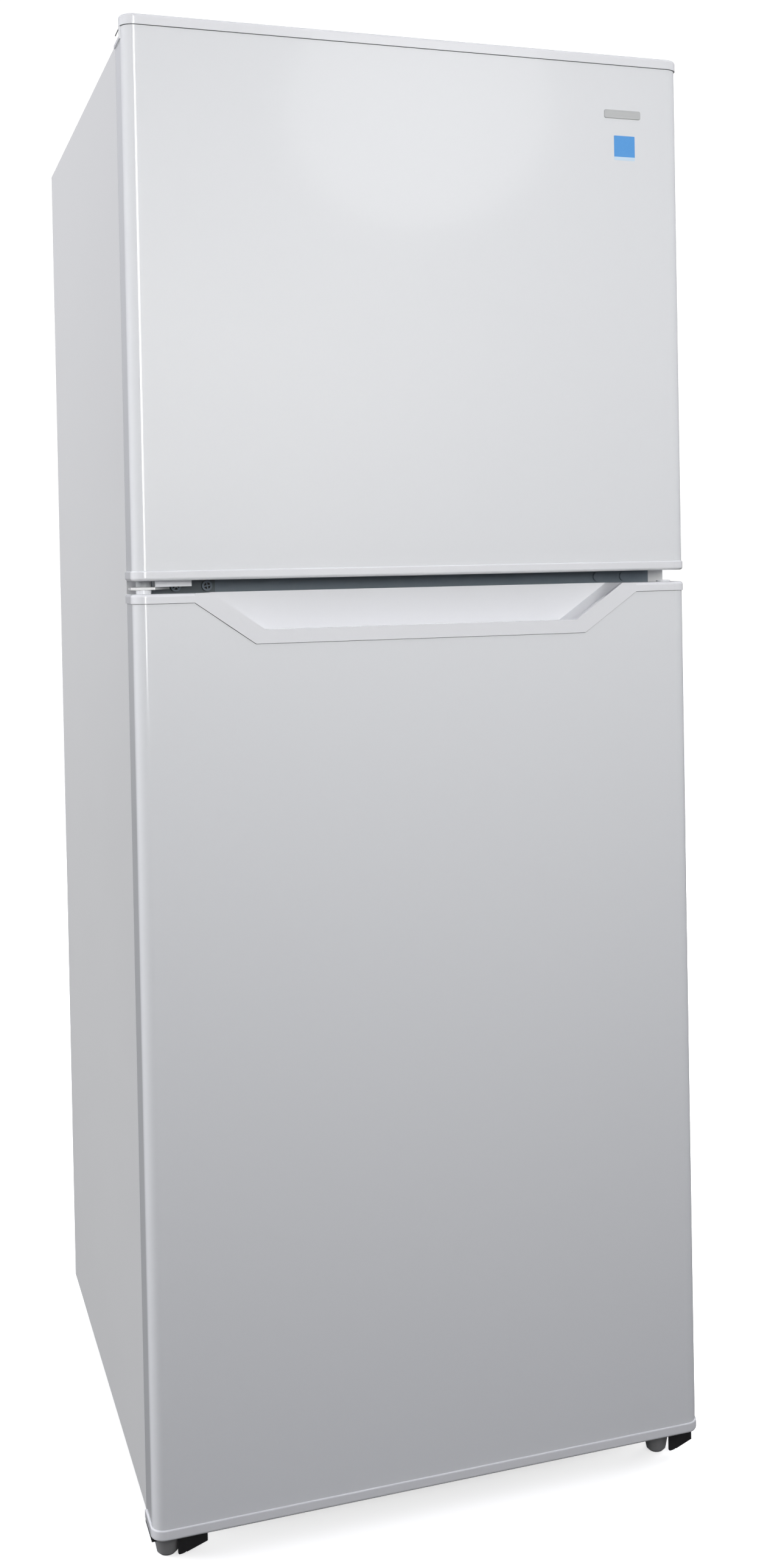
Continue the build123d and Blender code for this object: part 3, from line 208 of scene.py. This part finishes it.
def clear_plastic(name, tint, rough):
    """Clear styrene tray: slightly blue in its thickness, with faint scuffs."""
    f = Finish(name)
    scuff = f.noise(60.0, 5.0, (1.0, 0.2, 3.0))
    return f.surface(
        base_color=f.mix(scuff, tint, (0.9, 0.93, 0.95)), roughness=rough + 0.1 * scuff,
        transmission_weight=0.82, ior=1.49, normal=f.bump(scuff, 0.02),
    )


def plated(name, bright, dull, spangle, rough, metal=0.9):
    """Zinc coating: crystals of slightly different brightness under a thin haze."""
    f = Finish(name)
    crystals = f.cells(spangle)
    haze = f.noise(35.0, 4.0)
    share = f.node("ShaderNodeSeparateColor", {}, {0: crystals}, 0)
    return f.surface(
        base_color=f.mix(0.6 * share + 0.3 * haze, dull, bright), metallic=metal,
        roughness=rough + 0.14 * share, normal=f.bump(haze, 0.02),
    )


def rigid_foam(name):
    """Blown insulation foam: closed cells under a thin skin."""
    f = Finish(name)
    bubbles = f.cells(340.0, "Distance")
    blush = f.noise(12.0, 3.0)
    return f.surface(
        base_color=f.mix(blush, (0.72, 0.62, 0.36), (0.83, 0.76, 0.52)), roughness=0.85 + 0.1 * blush,
        normal=f.bump(bubbles, 0.6),
    )


def soft_seal(name, light, dark):
    """Soft vinyl with long extrusion lines and a dusty sheen."""
    f = Finish(name)
    lines = f.noise(300.0, 2.0, (1.0, 8.0, 1.0))
    dust = f.noise(24.0, 4.0)
    return f.surface(
        base_color=f.mix(dust, dark, light), roughness=0.5 + 0.2 * dust, normal=f.bump(lines, 0.08),
    )


def drawn_copper(name):
    """Drawn copper tube, tarnished in patches."""
    f = Finish(name)
    tarnish = f.ramp(f.noise(40.0, 5.0), (0.42, (0.0, 0.0, 0.0)), (0.68, (1.0, 1.0, 1.0)))
    mask = f.node("ShaderNodeSeparateColor", {}, {0: tarnish}, 0)
    return f.surface(
        base_color=f.mix(mask, (0.75, 0.40, 0.24), (0.33, 0.19, 0.12)), metallic=1.0,
        roughness=0.25 + 0.3 * mask,
    )


def brushed_aluminium(name):
    f = Finish(name)
    strokes = f.noise(120.0, 3.0, (30.0, 1.0, 1.0))
    return f.surface(
        base_color=f.mix(strokes, (0.62, 0.64, 0.66), (0.80, 0.81, 0.82)), metallic=1.0,
        roughness=0.32 + 0.14 * strokes, normal=f.bump(strokes, 0.02),
    )


def black_enamel(name, colour, worn):
    """Dark stoved paint, dusty and rubbed thin in places."""
    f = Finish(name)
    rub = f.noise(55.0, 5.0)
    peel = f.noise(400.0, 2.0)
    return f.surface(
        base_color=f.mix(rub ** 2.0, colour, worn), roughness=0.38 + 0.2 * rub, normal=f.bump(peel, 0.05),
    )


FINISHES = {
    "white_paint": enamel(
        "white door enamel", (0.80, 0.812, 0.838), (0.785, 0.797, 0.823), rough=0.17, coat=0.55, peel=0.005
    ),
    "cabinet_paint": enamel(
        "white cabinet enamel", (0.78, 0.785, 0.79), (0.765, 0.77, 0.775), rough=0.34, coat=0.2, peel=0.03
    ),
    "white_moulding": moulding(
        "white door cap", (0.825, 0.832, 0.862), (0.805, 0.812, 0.842), rough=0.16, grain=0.003, coat=0.5
    ),
    "liner_white": vacuum_formed("white liner sheet"),
    "clear_tray": clear_plastic("clear tray", (0.80, 0.87, 0.92), 0.06),
    "shelf_glass": clear_plastic("shelf glass", (0.78, 0.92, 0.88), 0.01),
    "seal_rubber": soft_seal("door seal vinyl", (0.70, 0.71, 0.71), (0.62, 0.63, 0.63)),
    "foam_core": rigid_foam("insulation foam"),
    "dark_paint": black_enamel("blue grey bar paint", (0.15, 0.19, 0.23), (0.20, 0.235, 0.27)),
    "black_paint": black_enamel("black bracket paint", (0.012, 0.012, 0.014), (0.035, 0.034, 0.033)),
    "zinc": plated("bright zinc plate", (0.88, 0.88, 0.87), (0.66, 0.67, 0.68), 260.0, 0.22, 0.6),
    "galvanised": plated("galvanised sheet", (0.66, 0.68, 0.69), (0.46, 0.48, 0.50), 90.0, 0.34, 0.5),
    "foot_plastic": moulding("foot nylon", (0.34, 0.34, 0.345), (0.20, 0.20, 0.205), 0.42, 0.03),
    "grey_plastic": moulding("grey fitting", (0.40, 0.41, 0.42), (0.33, 0.34, 0.35), 0.4, 0.02),
    "black_plastic": moulding("black fitting", (0.02, 0.02, 0.022), (0.012, 0.012, 0.013), 0.35, 0.02),
    "grommet_rubber": soft_seal("mount rubber", (0.030, 0.030, 0.030), (0.016, 0.016, 0.016)),
    "copper_pipe": drawn_copper("copper pipe"),
    "coil_aluminium": brushed_aluminium("coil aluminium"),
    "wire_white": moulding("white shelf coat", (0.80, 0.80, 0.79), (0.74, 0.74, 0.73), 0.3, 0.01, 0.2),
    "lens_clear": clear_plastic("lamp lens", (0.90, 0.90, 0.84), 0.25),
}

for part in record["subparts"]:
    for slot in nodes[part["node"]].material_slots:
        slot.material = FINISHES[part["material_slot"]]


HINGE_FLANGE = 2.5 * MM


def hinge_finish():
    """Bright zinc on the plate and pin; the screwed flange behind them is zinc as well, but coloured dark
    blue grey, less metallic and rougher as painted shade for the deep gap between the doors.
    """
    f = Finish("middle hinge zinc with painted flange shade")
    depth = f.node("ShaderNodeSeparateXYZ", {}, {0: f.place}, 1)
    flange_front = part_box("middle_hinge")[1].y - HINGE_FLANGE
    flange = f.node("ShaderNodeMath", {"operation": "GREATER_THAN"}, {0: depth, 1: flange_front - 0.1 * MM})
    haze = f.noise(35.0, 4.0)
    zinc = f.mix(haze, (0.84, 0.85, 0.86), (0.95, 0.95, 0.94))
    # paint is painted shade: the flange's zinc darkened to the bar's blue grey
    paint = f.mix(haze, (0.085, 0.11, 0.13), (0.12, 0.145, 0.165))
    return f.surface(
        base_color=f.mix(flange, zinc, paint), metallic=0.35 * (1 - flange), roughness=0.26 + 0.16 * flange,
        normal=f.bump(haze, 0.02),
    )


for slot in nodes["middle_hinge"].material_slots:
    slot.material = hinge_finish()


# ------------------------------------------------------------------ making small pieces
def piece(name, mesh_maker, body, slot, finish=None):
    """A named mesh made by bmesh code, with its place in its mesh, riding on a body."""
    bm = bmesh.new()
    mesh_maker(bm)
    bmesh.ops.recalc_face_normals(bm, faces=bm.faces)
    mesh = bpy.data.meshes.new(name)
    bm.to_mesh(mesh)
    bm.free()
    made = bpy.data.objects.new(name, mesh)
    bpy.context.scene.collection.objects.link(made)
    mesh.materials.append(finish or FINISHES[slot])
    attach(made, body)
    return made


# ------------------------------------------------------------------ small pieces on the doors
SKIN_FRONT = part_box("freezer_door_skin")[0].y
SKIN_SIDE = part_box("freezer_door_skin")[1].x
SKIN_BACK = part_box("freezer_door_skin")[1].y
CORNER = 13 * MM


def rounded_plate(bm, low, high, front, thickness, radius, chamfer):
    """A thin plate with round corners and a chamfered front edge, facing -Y; low and high are (x, z)."""
    rings = []
    for inset, y in ((0.0, front + thickness), (0.0, front + chamfer), (chamfer, front)):
        ring = []
        for corner_x, corner_z, start in (
            (high[0] - radius, high[1] - radius, 0), (low[0] + radius, high[1] - radius, 90),
            (low[0] + radius, low[1] + radius, 180), (high[0] - radius, low[1] + radius, 270),
        ):
            for step in range(7):
                turn = math.radians(start + step * 15)
                reach = radius - inset
                across = corner_x + reach * math.cos(turn)
                ring.append(bm.verts.new((across, y, corner_z + reach * math.sin(turn))))
        rings.append(ring)
    for first, second in zip(rings, rings[1:]):
        for i in range(len(first)):
            j = (i + 1) % len(first)
            bm.faces.new((first[i], first[j], second[j], second[i]))
    bm.faces.new(rings[0])
    bm.faces.new(list(reversed(rings[-1])))


def blank_plate_finish():
    """Satin silver paint on a small blank plate."""
    f = Finish("satin silver plate")
    brush = f.noise(160.0, 2.0, (0.2, 1.0, 8.0))
    return f.surface(
        base_color=f.mix(brush, (0.52, 0.53, 0.53), (0.62, 0.63, 0.63)), metallic=0.35,
        roughness=0.34 + 0.12 * brush, normal=f.bump(brush, 0.01),
    )


def plain_sticker_finish(middle, half_height):
    """A blue paper sticker with one pale band and no lettering."""
    f = Finish("plain blue sticker")
    height = f.node("ShaderNodeSeparateXYZ", {}, {0: f.place}, 2)
    from_middle = (height - middle) / half_height
    pale, full = (1, 1, 1), (0, 0, 0)
    band = f.ramp(from_middle * 0.5 + 0.5, (0.0, pale), (0.13, pale), (0.15, full), (1.0, full))
    mask = f.node("ShaderNodeSeparateColor", {}, {0: band}, 0)
    paper = f.noise(700.0, 2.0)
    blue = f.mix(paper, (0.085, 0.33, 0.76), (0.10, 0.37, 0.80))
    return f.surface(
        base_color=f.mix(mask, blue, (0.62, 0.78, 0.93)), roughness=0.38 + 0.08 * paper,
        normal=f.bump(paper, 0.004),
    )


piece(
    "blank_door_plate",
    lambda bm: rounded_plate(
        bm, (0.209, 1.449), (0.251, 1.458), SKIN_FRONT - 0.9 * MM, 0.8 * MM, 2 * MM, 0.3 * MM
    ),
    "freezer_door", "zinc", blank_plate_finish(),
)
piece(
    "plain_door_sticker",
    lambda bm: rounded_plate(
        bm, (0.220, 1.405), (0.244, 1.431), SKIN_FRONT - 0.2 * MM, 0.18 * MM, 1 * MM, 0.05 * MM
    ),
    "freezer_door", "white_moulding", plain_sticker_finish(1.418, 0.013),
)


def joint_shadow():
    """A dark thread along the joint between a door cap and the door's sheet: painted shadow for the groove
    there, with a noise drifting its tone and roughness.
    """
    f = Finish("cap joint painted shadow")
    shadow_tone = f.noise(80.0, 4.0)
    return f.surface(
        base_color=f.mix(shadow_tone, (0.10, 0.105, 0.11), (0.17, 0.175, 0.18)), roughness=0.6 + 0.2 * shadow_tone,
    )


def thread_tree(name, finish):
    """Turns a line of edges into a round thread of the given thickness."""
    tree = bpy.data.node_groups.new(name, "GeometryNodeTree")
    tree.interface.new_socket("Line", in_out="INPUT", socket_type="NodeSocketGeometry")
    thickness = tree.interface.new_socket("Thickness", in_out="INPUT", socket_type="NodeSocketFloat")
    tree.interface.new_socket("Thread", in_out="OUTPUT", socket_type="NodeSocketGeometry")
    start = tree.nodes.new("NodeGroupInput")
    to_curve = tree.nodes.new("GeometryNodeMeshToCurve")
    ring = tree.nodes.new("GeometryNodeCurvePrimitiveCircle")
    ring.inputs["Resolution"].default_value = 12
    sweep = tree.nodes.new("GeometryNodeCurveToMesh")
    sweep.inputs["Fill Caps"].default_value = True
    whole = tree.nodes.new("GeometryNodeRealizeInstances")
    coat = tree.nodes.new("GeometryNodeSetMaterial")
    coat.inputs["Material"].default_value = finish
    end = tree.nodes.new("NodeGroupOutput")
    join = tree.links.new
    join(start.outputs["Line"], to_curve.inputs["Mesh"])
    join(start.outputs["Thickness"], ring.inputs["Radius"])
    join(to_curve.outputs[0], sweep.inputs["Curve"])
    join(ring.outputs[0], sweep.inputs["Profile Curve"])
    join(sweep.outputs[0], whole.inputs[0])
    join(whole.outputs[0], coat.inputs["Geometry"])
    join(coat.outputs[0], end.inputs[0])
    return tree, thickness.identifier


def baked(holder, name, body):
    """Evaluates an object's modifiers into a plain mesh piece."""
    seen = bpy.context.evaluated_depsgraph_get()
    mesh = bpy.data.meshes.new_from_object(holder.evaluated_get(seen))
    bpy.data.objects.remove(holder)
    made = bpy.data.objects.new(name, mesh)
    bpy.context.scene.collection.objects.link(made)
    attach(made, body)
    return made


def shape_from_tree(points, edges, tree, inputs, name, body):
    mesh = bpy.data.meshes.new(name)
    mesh.from_pydata(points, edges, [])
    holder = bpy.data.objects.new(name + "_line", mesh)
    bpy.context.scene.collection.objects.link(holder)
    modifier = holder.modifiers.new("shape", "NODES")
    modifier.node_group = tree
    for key, value in inputs.items():
        modifier[key] = value
    return baked(holder, name, body)


def door_round(z, front=()):
    """Points round a door at height z, from its back left edge to its back right edge; front goes between."""
    centre_x = SKIN_SIDE - CORNER
    centre_y = SKIN_FRONT + CORNER
    points = [(-SKIN_SIDE, SKIN_BACK - 2 * MM, z)]
    turns = [math.radians(i * 9) for i in range(11)]
    points += [(-centre_x - CORNER * math.cos(t), centre_y - CORNER * math.sin(t), z) for t in turns]
    points += [(x, SKIN_FRONT, height) for x, height in front]
    points += [(centre_x + CORNER * math.sin(t), centre_y - CORNER * math.cos(t), z) for t in turns]
    points.append((SKIN_SIDE, SKIN_BACK - 2 * MM, z))
    return points


JOINT_SHADOW_FINISH = joint_shadow()
JOINT_TREE, JOINT_THICKNESS = thread_tree("joint line", JOINT_SHADOW_FINISH)


# Lays a dark thread along the given points as painted shadow in a cap joint.
def joint_shadow_line(name, points, body):
    edges = [(i, i + 1) for i in range(len(points) - 1)]
    return shape_from_tree(points, edges, JOINT_TREE, {JOINT_THICKNESS: 0.5 * MM}, name, body)


def slotted_head(radius, height):
    """A low domed screw head, facing -Y, with a cross slot cut in it."""
    bm = bmesh.new()
    rings = []
    profile = [(1.0, 0.0), (1.0, 0.35), (0.93, 0.62), (0.78, 0.84), (0.55, 0.96), (0.28, 1.0)]
    for share, rise in profile:
        ring = []
        for step in range(24):
            turn = math.radians(step * 15)
            reach = share * radius
            ring.append(bm.verts.new((reach * math.cos(turn), -rise * height, reach * math.sin(turn))))
        rings.append(ring)
    for first, second in zip(rings, rings[1:]):
        for i in range(24):
            j = (i + 1) % 24
            bm.faces.new((first[i], first[j], second[j], second[i]))
    bm.faces.new(rings[0])
    bm.faces.new(list(reversed(rings[-1])))
    bmesh.ops.recalc_face_normals(bm, faces=bm.faces)
    mesh = bpy.data.meshes.new("head")
    bm.to_mesh(mesh)
    bm.free()
    head = bpy.data.objects.new("head", mesh)
    bpy.context.scene.collection.objects.link(head)
    for turn in (0.0, math.pi / 2):
        cutter_mesh = bpy.data.meshes.new("slot")
        bm = bmesh.new()
        bmesh.ops.create_cube(bm, size=1.0)
        bm.to_mesh(cutter_mesh)
        bm.free()
        long_way = Matrix.Rotation(turn, 4, "Y") @ Matrix.Diagonal((radius * 1.25, height, radius * 0.24, 1))
        cutter_mesh.transform(Matrix.Translation((0, -height, 0)) @ long_way)
        cutter = bpy.data.objects.new("slot", cutter_mesh)
        bpy.context.scene.collection.objects.link(cutter)
        cut = head.modifiers.new("slot", "BOOLEAN")
        cut.operation = "DIFFERENCE"
        cut.solver = "EXACT"
        cut.object = cutter
        cutter.hide_render = True
    return head


def heads_tree(name, finish):
    """Sets a copy of a screw head on each point."""
    tree = bpy.data.node_groups.new(name, "GeometryNodeTree")
    tree.interface.new_socket("Places", in_out="INPUT", socket_type="NodeSocketGeometry")
    size = tree.interface.new_socket("Size", in_out="INPUT", socket_type="NodeSocketFloat")
    head_input = tree.interface.new_socket("Head", in_out="INPUT", socket_type="NodeSocketObject")
    tree.interface.new_socket("Heads", in_out="OUTPUT", socket_type="NodeSocketGeometry")
    start = tree.nodes.new("NodeGroupInput")
    points = tree.nodes.new("GeometryNodeMeshToPoints")
    info = tree.nodes.new("GeometryNodeObjectInfo")
    copies = tree.nodes.new("GeometryNodeInstanceOnPoints")
    angle = tree.nodes.new("FunctionNodeRandomValue")
    angle.data_type = "FLOAT"
    angle.inputs[2].default_value = 0.0
    angle.inputs[3].default_value = 3.1
    angle.inputs["Seed"].default_value = 7
    tilt = tree.nodes.new("ShaderNodeCombineXYZ")
    whole = tree.nodes.new("GeometryNodeRealizeInstances")
    coat = tree.nodes.new("GeometryNodeSetMaterial")
    coat.inputs["Material"].default_value = finish
    end = tree.nodes.new("NodeGroupOutput")
    join = tree.links.new
    join(start.outputs["Places"], points.inputs["Mesh"])
    join(start.outputs["Head"], info.inputs["Object"])
    join(points.outputs[0], copies.inputs["Points"])
    join(info.outputs["Geometry"], copies.inputs["Instance"])
    join(start.outputs["Size"], copies.inputs["Scale"])
    join(angle.outputs[1], tilt.inputs["Y"])
    join(tilt.outputs[0], copies.inputs["Rotation"])
    join(copies.outputs[0], whole.inputs[0])
    join(whole.outputs[0], coat.inputs["Geometry"])
    join(coat.outputs[0], end.inputs[0])
    return tree, size.identifier, head_input.identifier


HINGE_SCREWS = (-0.247, -0.2155)  # along X
hinge_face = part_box("middle_hinge")[1].y - HINGE_FLANGE
hinge_middle = (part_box("middle_hinge")[0].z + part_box("middle_hinge")[1].z) / 2
head = slotted_head(5.5 * MM, 4.3 * MM)
HEAD_FINISH = black_enamel("blackened screw", (0.010, 0.011, 0.012), (0.030, 0.032, 0.034))
tree, size_key, head_key = heads_tree("hinge screw heads", HEAD_FINISH)
shape_from_tree(
    [(x, hinge_face, hinge_middle) for x in HINGE_SCREWS], [], tree,
    {size_key: 1.0, head_key: head}, "hinge_screw_heads", "cabinet",
)
for scrap in [o for o in bpy.data.objects if o.name == "head" or o.name.startswith("slot")]:
    bpy.data.objects.remove(scrap)

freezer_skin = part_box("freezer_door_skin")
fridge_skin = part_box("refrigerator_door_skin")
trim_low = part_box("handle_trim")[0].z
HOLD_TOP_HALF = 0.237  # half widths of the hand hold's dip, at its top and at its bottom
HOLD_LOW_HALF = 0.177
dip = [
    (-HOLD_TOP_HALF, fridge_skin[1].z), (-HOLD_LOW_HALF, trim_low),
    (HOLD_LOW_HALF, trim_low), (HOLD_TOP_HALF, fridge_skin[1].z),
]
# Dark threads along the cap joints, laid as painted shadow in the grooves.
joint_shadow_line("freezer_top_joint", door_round(freezer_skin[1].z), "freezer_door")
joint_shadow_line("handle_trim_joint", door_round(fridge_skin[1].z, dip), "refrigerator_door")

# The moulded caps under both doors have a rolled upper edge.
ROLL_TREE, ROLL_RADIUS = thread_tree("cap roll", FINISHES["white_moulding"])
for name, z, body in (
    ("freezer_bottom_cap_roll", freezer_skin[0].z, "freezer_door"),
    ("refrigerator_bottom_cap_roll", fridge_skin[0].z, "refrigerator_door"),
):
    path = door_round(z)
    edges = [(i, i + 1) for i in range(len(path) - 1)]
    shape_from_tree(path, edges, ROLL_TREE, {ROLL_RADIUS: 1.2 * MM}, name, body)


WEB_FRONT = 20.3 * MM  # the web's face behind the doors' faces
WEB_THICK = 2.4 * MM
WEB_OUTLINE = (  # across from the foot's axis and up from the floor, mm
    (8.0, 23.8), (17.4, 23.8), (17.4, 5.6), (14.8, 4.6), (12.2, 3.9), (9.8, 3.5), (8.4, 3.8), (8.0, 4.8),
)


def bracket_web(bm, foot):
    """The pressed steel web between a front foot and its bracket's gusset, which lies towards +X."""
    front = cad_box[0].y + WEB_FRONT
    near, far = (
        [bm.verts.new((foot + x * MM, y, z * MM)) for x, z in WEB_OUTLINE] for y in (front, front + WEB_THICK)
    )
    bm.faces.new(near)
    bm.faces.new(list(reversed(far)))
    for i in range(len(WEB_OUTLINE)):
        j = (i + 1) % len(WEB_OUTLINE)
        bm.faces.new((near[i], far[i], far[j], near[j]))
    bmesh.ops.bevel(bm, geom=bm.edges[:], offset=0.25 * MM, segments=2, affect="EDGES")


for hand in ("left", "right"):
    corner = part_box("levelling_foot_" + hand)
    foot_axis = (corner[0].x + corner[1].x) / 2
    piece(hand + "_bracket_web", lambda bm: bracket_web(bm, foot_axis), "cabinet", "black_paint")


# ------------------------------------------------------------------ floor, light and camera
def floor_disc():
    """A wide pale floor that neither lights nor shows in the refrigerator."""
    f = Finish("pale studio floor")
    cloud = f.noise(0.5, 2.0)
    f.surface(
        base_color=f.mix(cloud, (0.86, 0.86, 0.86), (0.90, 0.90, 0.90)), roughness=0.85,
        emission_color=(1.0, 1.0, 1.0), emission_strength=0.62,
    )
    bm = bmesh.new()
    bmesh.ops.create_circle(bm, cap_ends=True, segments=96, radius=18.0)
    mesh = bpy.data.meshes.new("floor")
    bm.to_mesh(mesh)
    bm.free()
    made = bpy.data.objects.new("floor", mesh)
    bpy.context.scene.collection.objects.link(made)
    mesh.transform(Matrix.Translation((0, 0, -0.0005)))
    mesh.materials.append(f.material)
    made.visible_diffuse = False
    made.visible_glossy = False


def softbox(
    name, place, aim, width, height, watts, mirrored=True, spread=180.0, lit=True, colour=(1, 1, 1)
):
    """An oval area light; mirrored is whether it shows in gloss, lit is whether it lights matt surfaces."""
    light = bpy.data.lights.new(name, "AREA")
    light.color = colour
    light.shape = "ELLIPSE"
    light.size = width
    light.size_y = height
    light.energy = watts
    light.spread = math.radians(spread)
    lamp = bpy.data.objects.new(name, light)
    lamp.location = place
    lamp.rotation_euler = (Vector(aim) - Vector(place)).to_track_quat("-Z", "Y").to_euler()
    lamp.visible_glossy = mirrored
    lamp.visible_diffuse = lit
    bpy.context.scene.collection.objects.link(lamp)


WORLD_HIGH = 0.63
WORLD_LOW = 0.02
KEY_WATTS = 11.0
GLOW_WATTS = 1.3
SIDE_WATTS = 70.0
STRIP_WATTS = 30.0
BACK_WATTS = 75.0
RIGHT_WATTS = 60.0


def studio_air():
    """Soft light from all round, dimmer from below, with a white backdrop."""
    world = bpy.data.worlds.new("studio")
    bpy.context.scene.world = world
    world.use_nodes = True
    tree = world.node_tree
    tree.nodes.clear()
    add = tree.nodes.new
    join = tree.links.new
    where = add("ShaderNodeTexCoord")
    split = add("ShaderNodeSeparateXYZ")
    fade = add("ShaderNodeMapRange")
    fade.inputs["From Min"].default_value = -0.15
    fade.inputs["From Max"].default_value = 0.40
    fade.inputs["To Min"].default_value = WORLD_LOW
    fade.inputs["To Max"].default_value = WORLD_HIGH
    around = add("ShaderNodeBackground")
    around.inputs["Color"].default_value = (0.925, 0.928, 1.0, 1)
    behind = add("ShaderNodeBackground")
    behind.inputs["Color"].default_value = (1, 1, 1, 1)
    behind.inputs["Strength"].default_value = 1.1
    seen = add("ShaderNodeLightPath")
    choose = add("ShaderNodeMixShader")
    end = add("ShaderNodeOutputWorld")
    join(where.outputs["Generated"], split.inputs[0])
    join(split.outputs["Z"], fade.inputs["Value"])
    join(fade.outputs[0], around.inputs["Strength"])
    join(seen.outputs["Is Camera Ray"], choose.inputs[0])
    join(around.outputs[0], choose.inputs[1])
    join(behind.outputs[0], choose.inputs[2])
    join(choose.outputs[0], end.inputs["Surface"])


CAMERA_PLACE = (-0.542, -1.983, 0.987)
CAMERA_TURN = 19.30  # degrees to the right of straight ahead
CAMERA_PITCH = -0.95
CAMERA_ROLL = -1.04
CAMERA_LENS = 39.02
CAMERA_SHIFT = (-0.0427, -0.1270)


def studio_camera():
    """Stands ahead of the hinge side, at chest height, and looks a little down."""
    turn, pitch, roll = (math.radians(a) for a in (CAMERA_TURN, CAMERA_PITCH, CAMERA_ROLL))
    ahead = Vector((math.sin(turn) * math.cos(pitch), math.cos(turn) * math.cos(pitch), math.sin(pitch)))
    right = Vector((math.cos(turn), -math.sin(turn), 0))
    up = right.cross(ahead)
    level_right = math.cos(roll) * right + math.sin(roll) * up
    level_up = -math.sin(roll) * right + math.cos(roll) * up
    camera = bpy.data.cameras.new("camera")
    camera.lens = CAMERA_LENS
    camera.sensor_width = 36.0
    camera.shift_x, camera.shift_y = CAMERA_SHIFT
    camera.clip_start = 0.05
    camera.clip_end = 60.0
    holder = bpy.data.objects.new("camera", camera)
    rows = zip(level_right, level_up, -ahead, CAMERA_PLACE)
    holder.matrix_world = Matrix((*(tuple(row) for row in rows), (0, 0, 0, 1)))
    bpy.context.scene.collection.objects.link(holder)
    bpy.context.scene.camera = holder


floor_disc()
softbox(
    "key", (0.0, -2.6, 1.40), (0.0, -0.33, 1.34), 1.8, 0.9, KEY_WATTS, mirrored=False, spread=95.0,
    colour=(1.0, 0.997, 0.965),
)
softbox("door glow", (0.85, -2.9, 2.15), (0.0, -0.33, 1.4), 0.7, 0.6, GLOW_WATTS)
softbox("side", (-3.0, 0.7, 1.1), (-0.3, 0.0, 0.95), 2.2, 2.2, SIDE_WATTS, mirrored=False)
softbox("edge strip", (-0.70, -3.4, 1.75), (-0.3, -0.33, 1.25), 0.46, 2.4, STRIP_WATTS, lit=False)
softbox("back", (0.6, 3.6, 1.7), (0.0, 0.3, 0.8), 2.4, 2.2, BACK_WATTS, mirrored=False)
softbox("right", (3.4, 0.9, 1.5), (0.3, 0.0, 0.8), 2.2, 2.2, RIGHT_WATTS, mirrored=False)
studio_air()
studio_camera()
bpy.context.scene.view_settings.view_transform = "Standard"
bpy.context.scene.view_settings.look = "None"
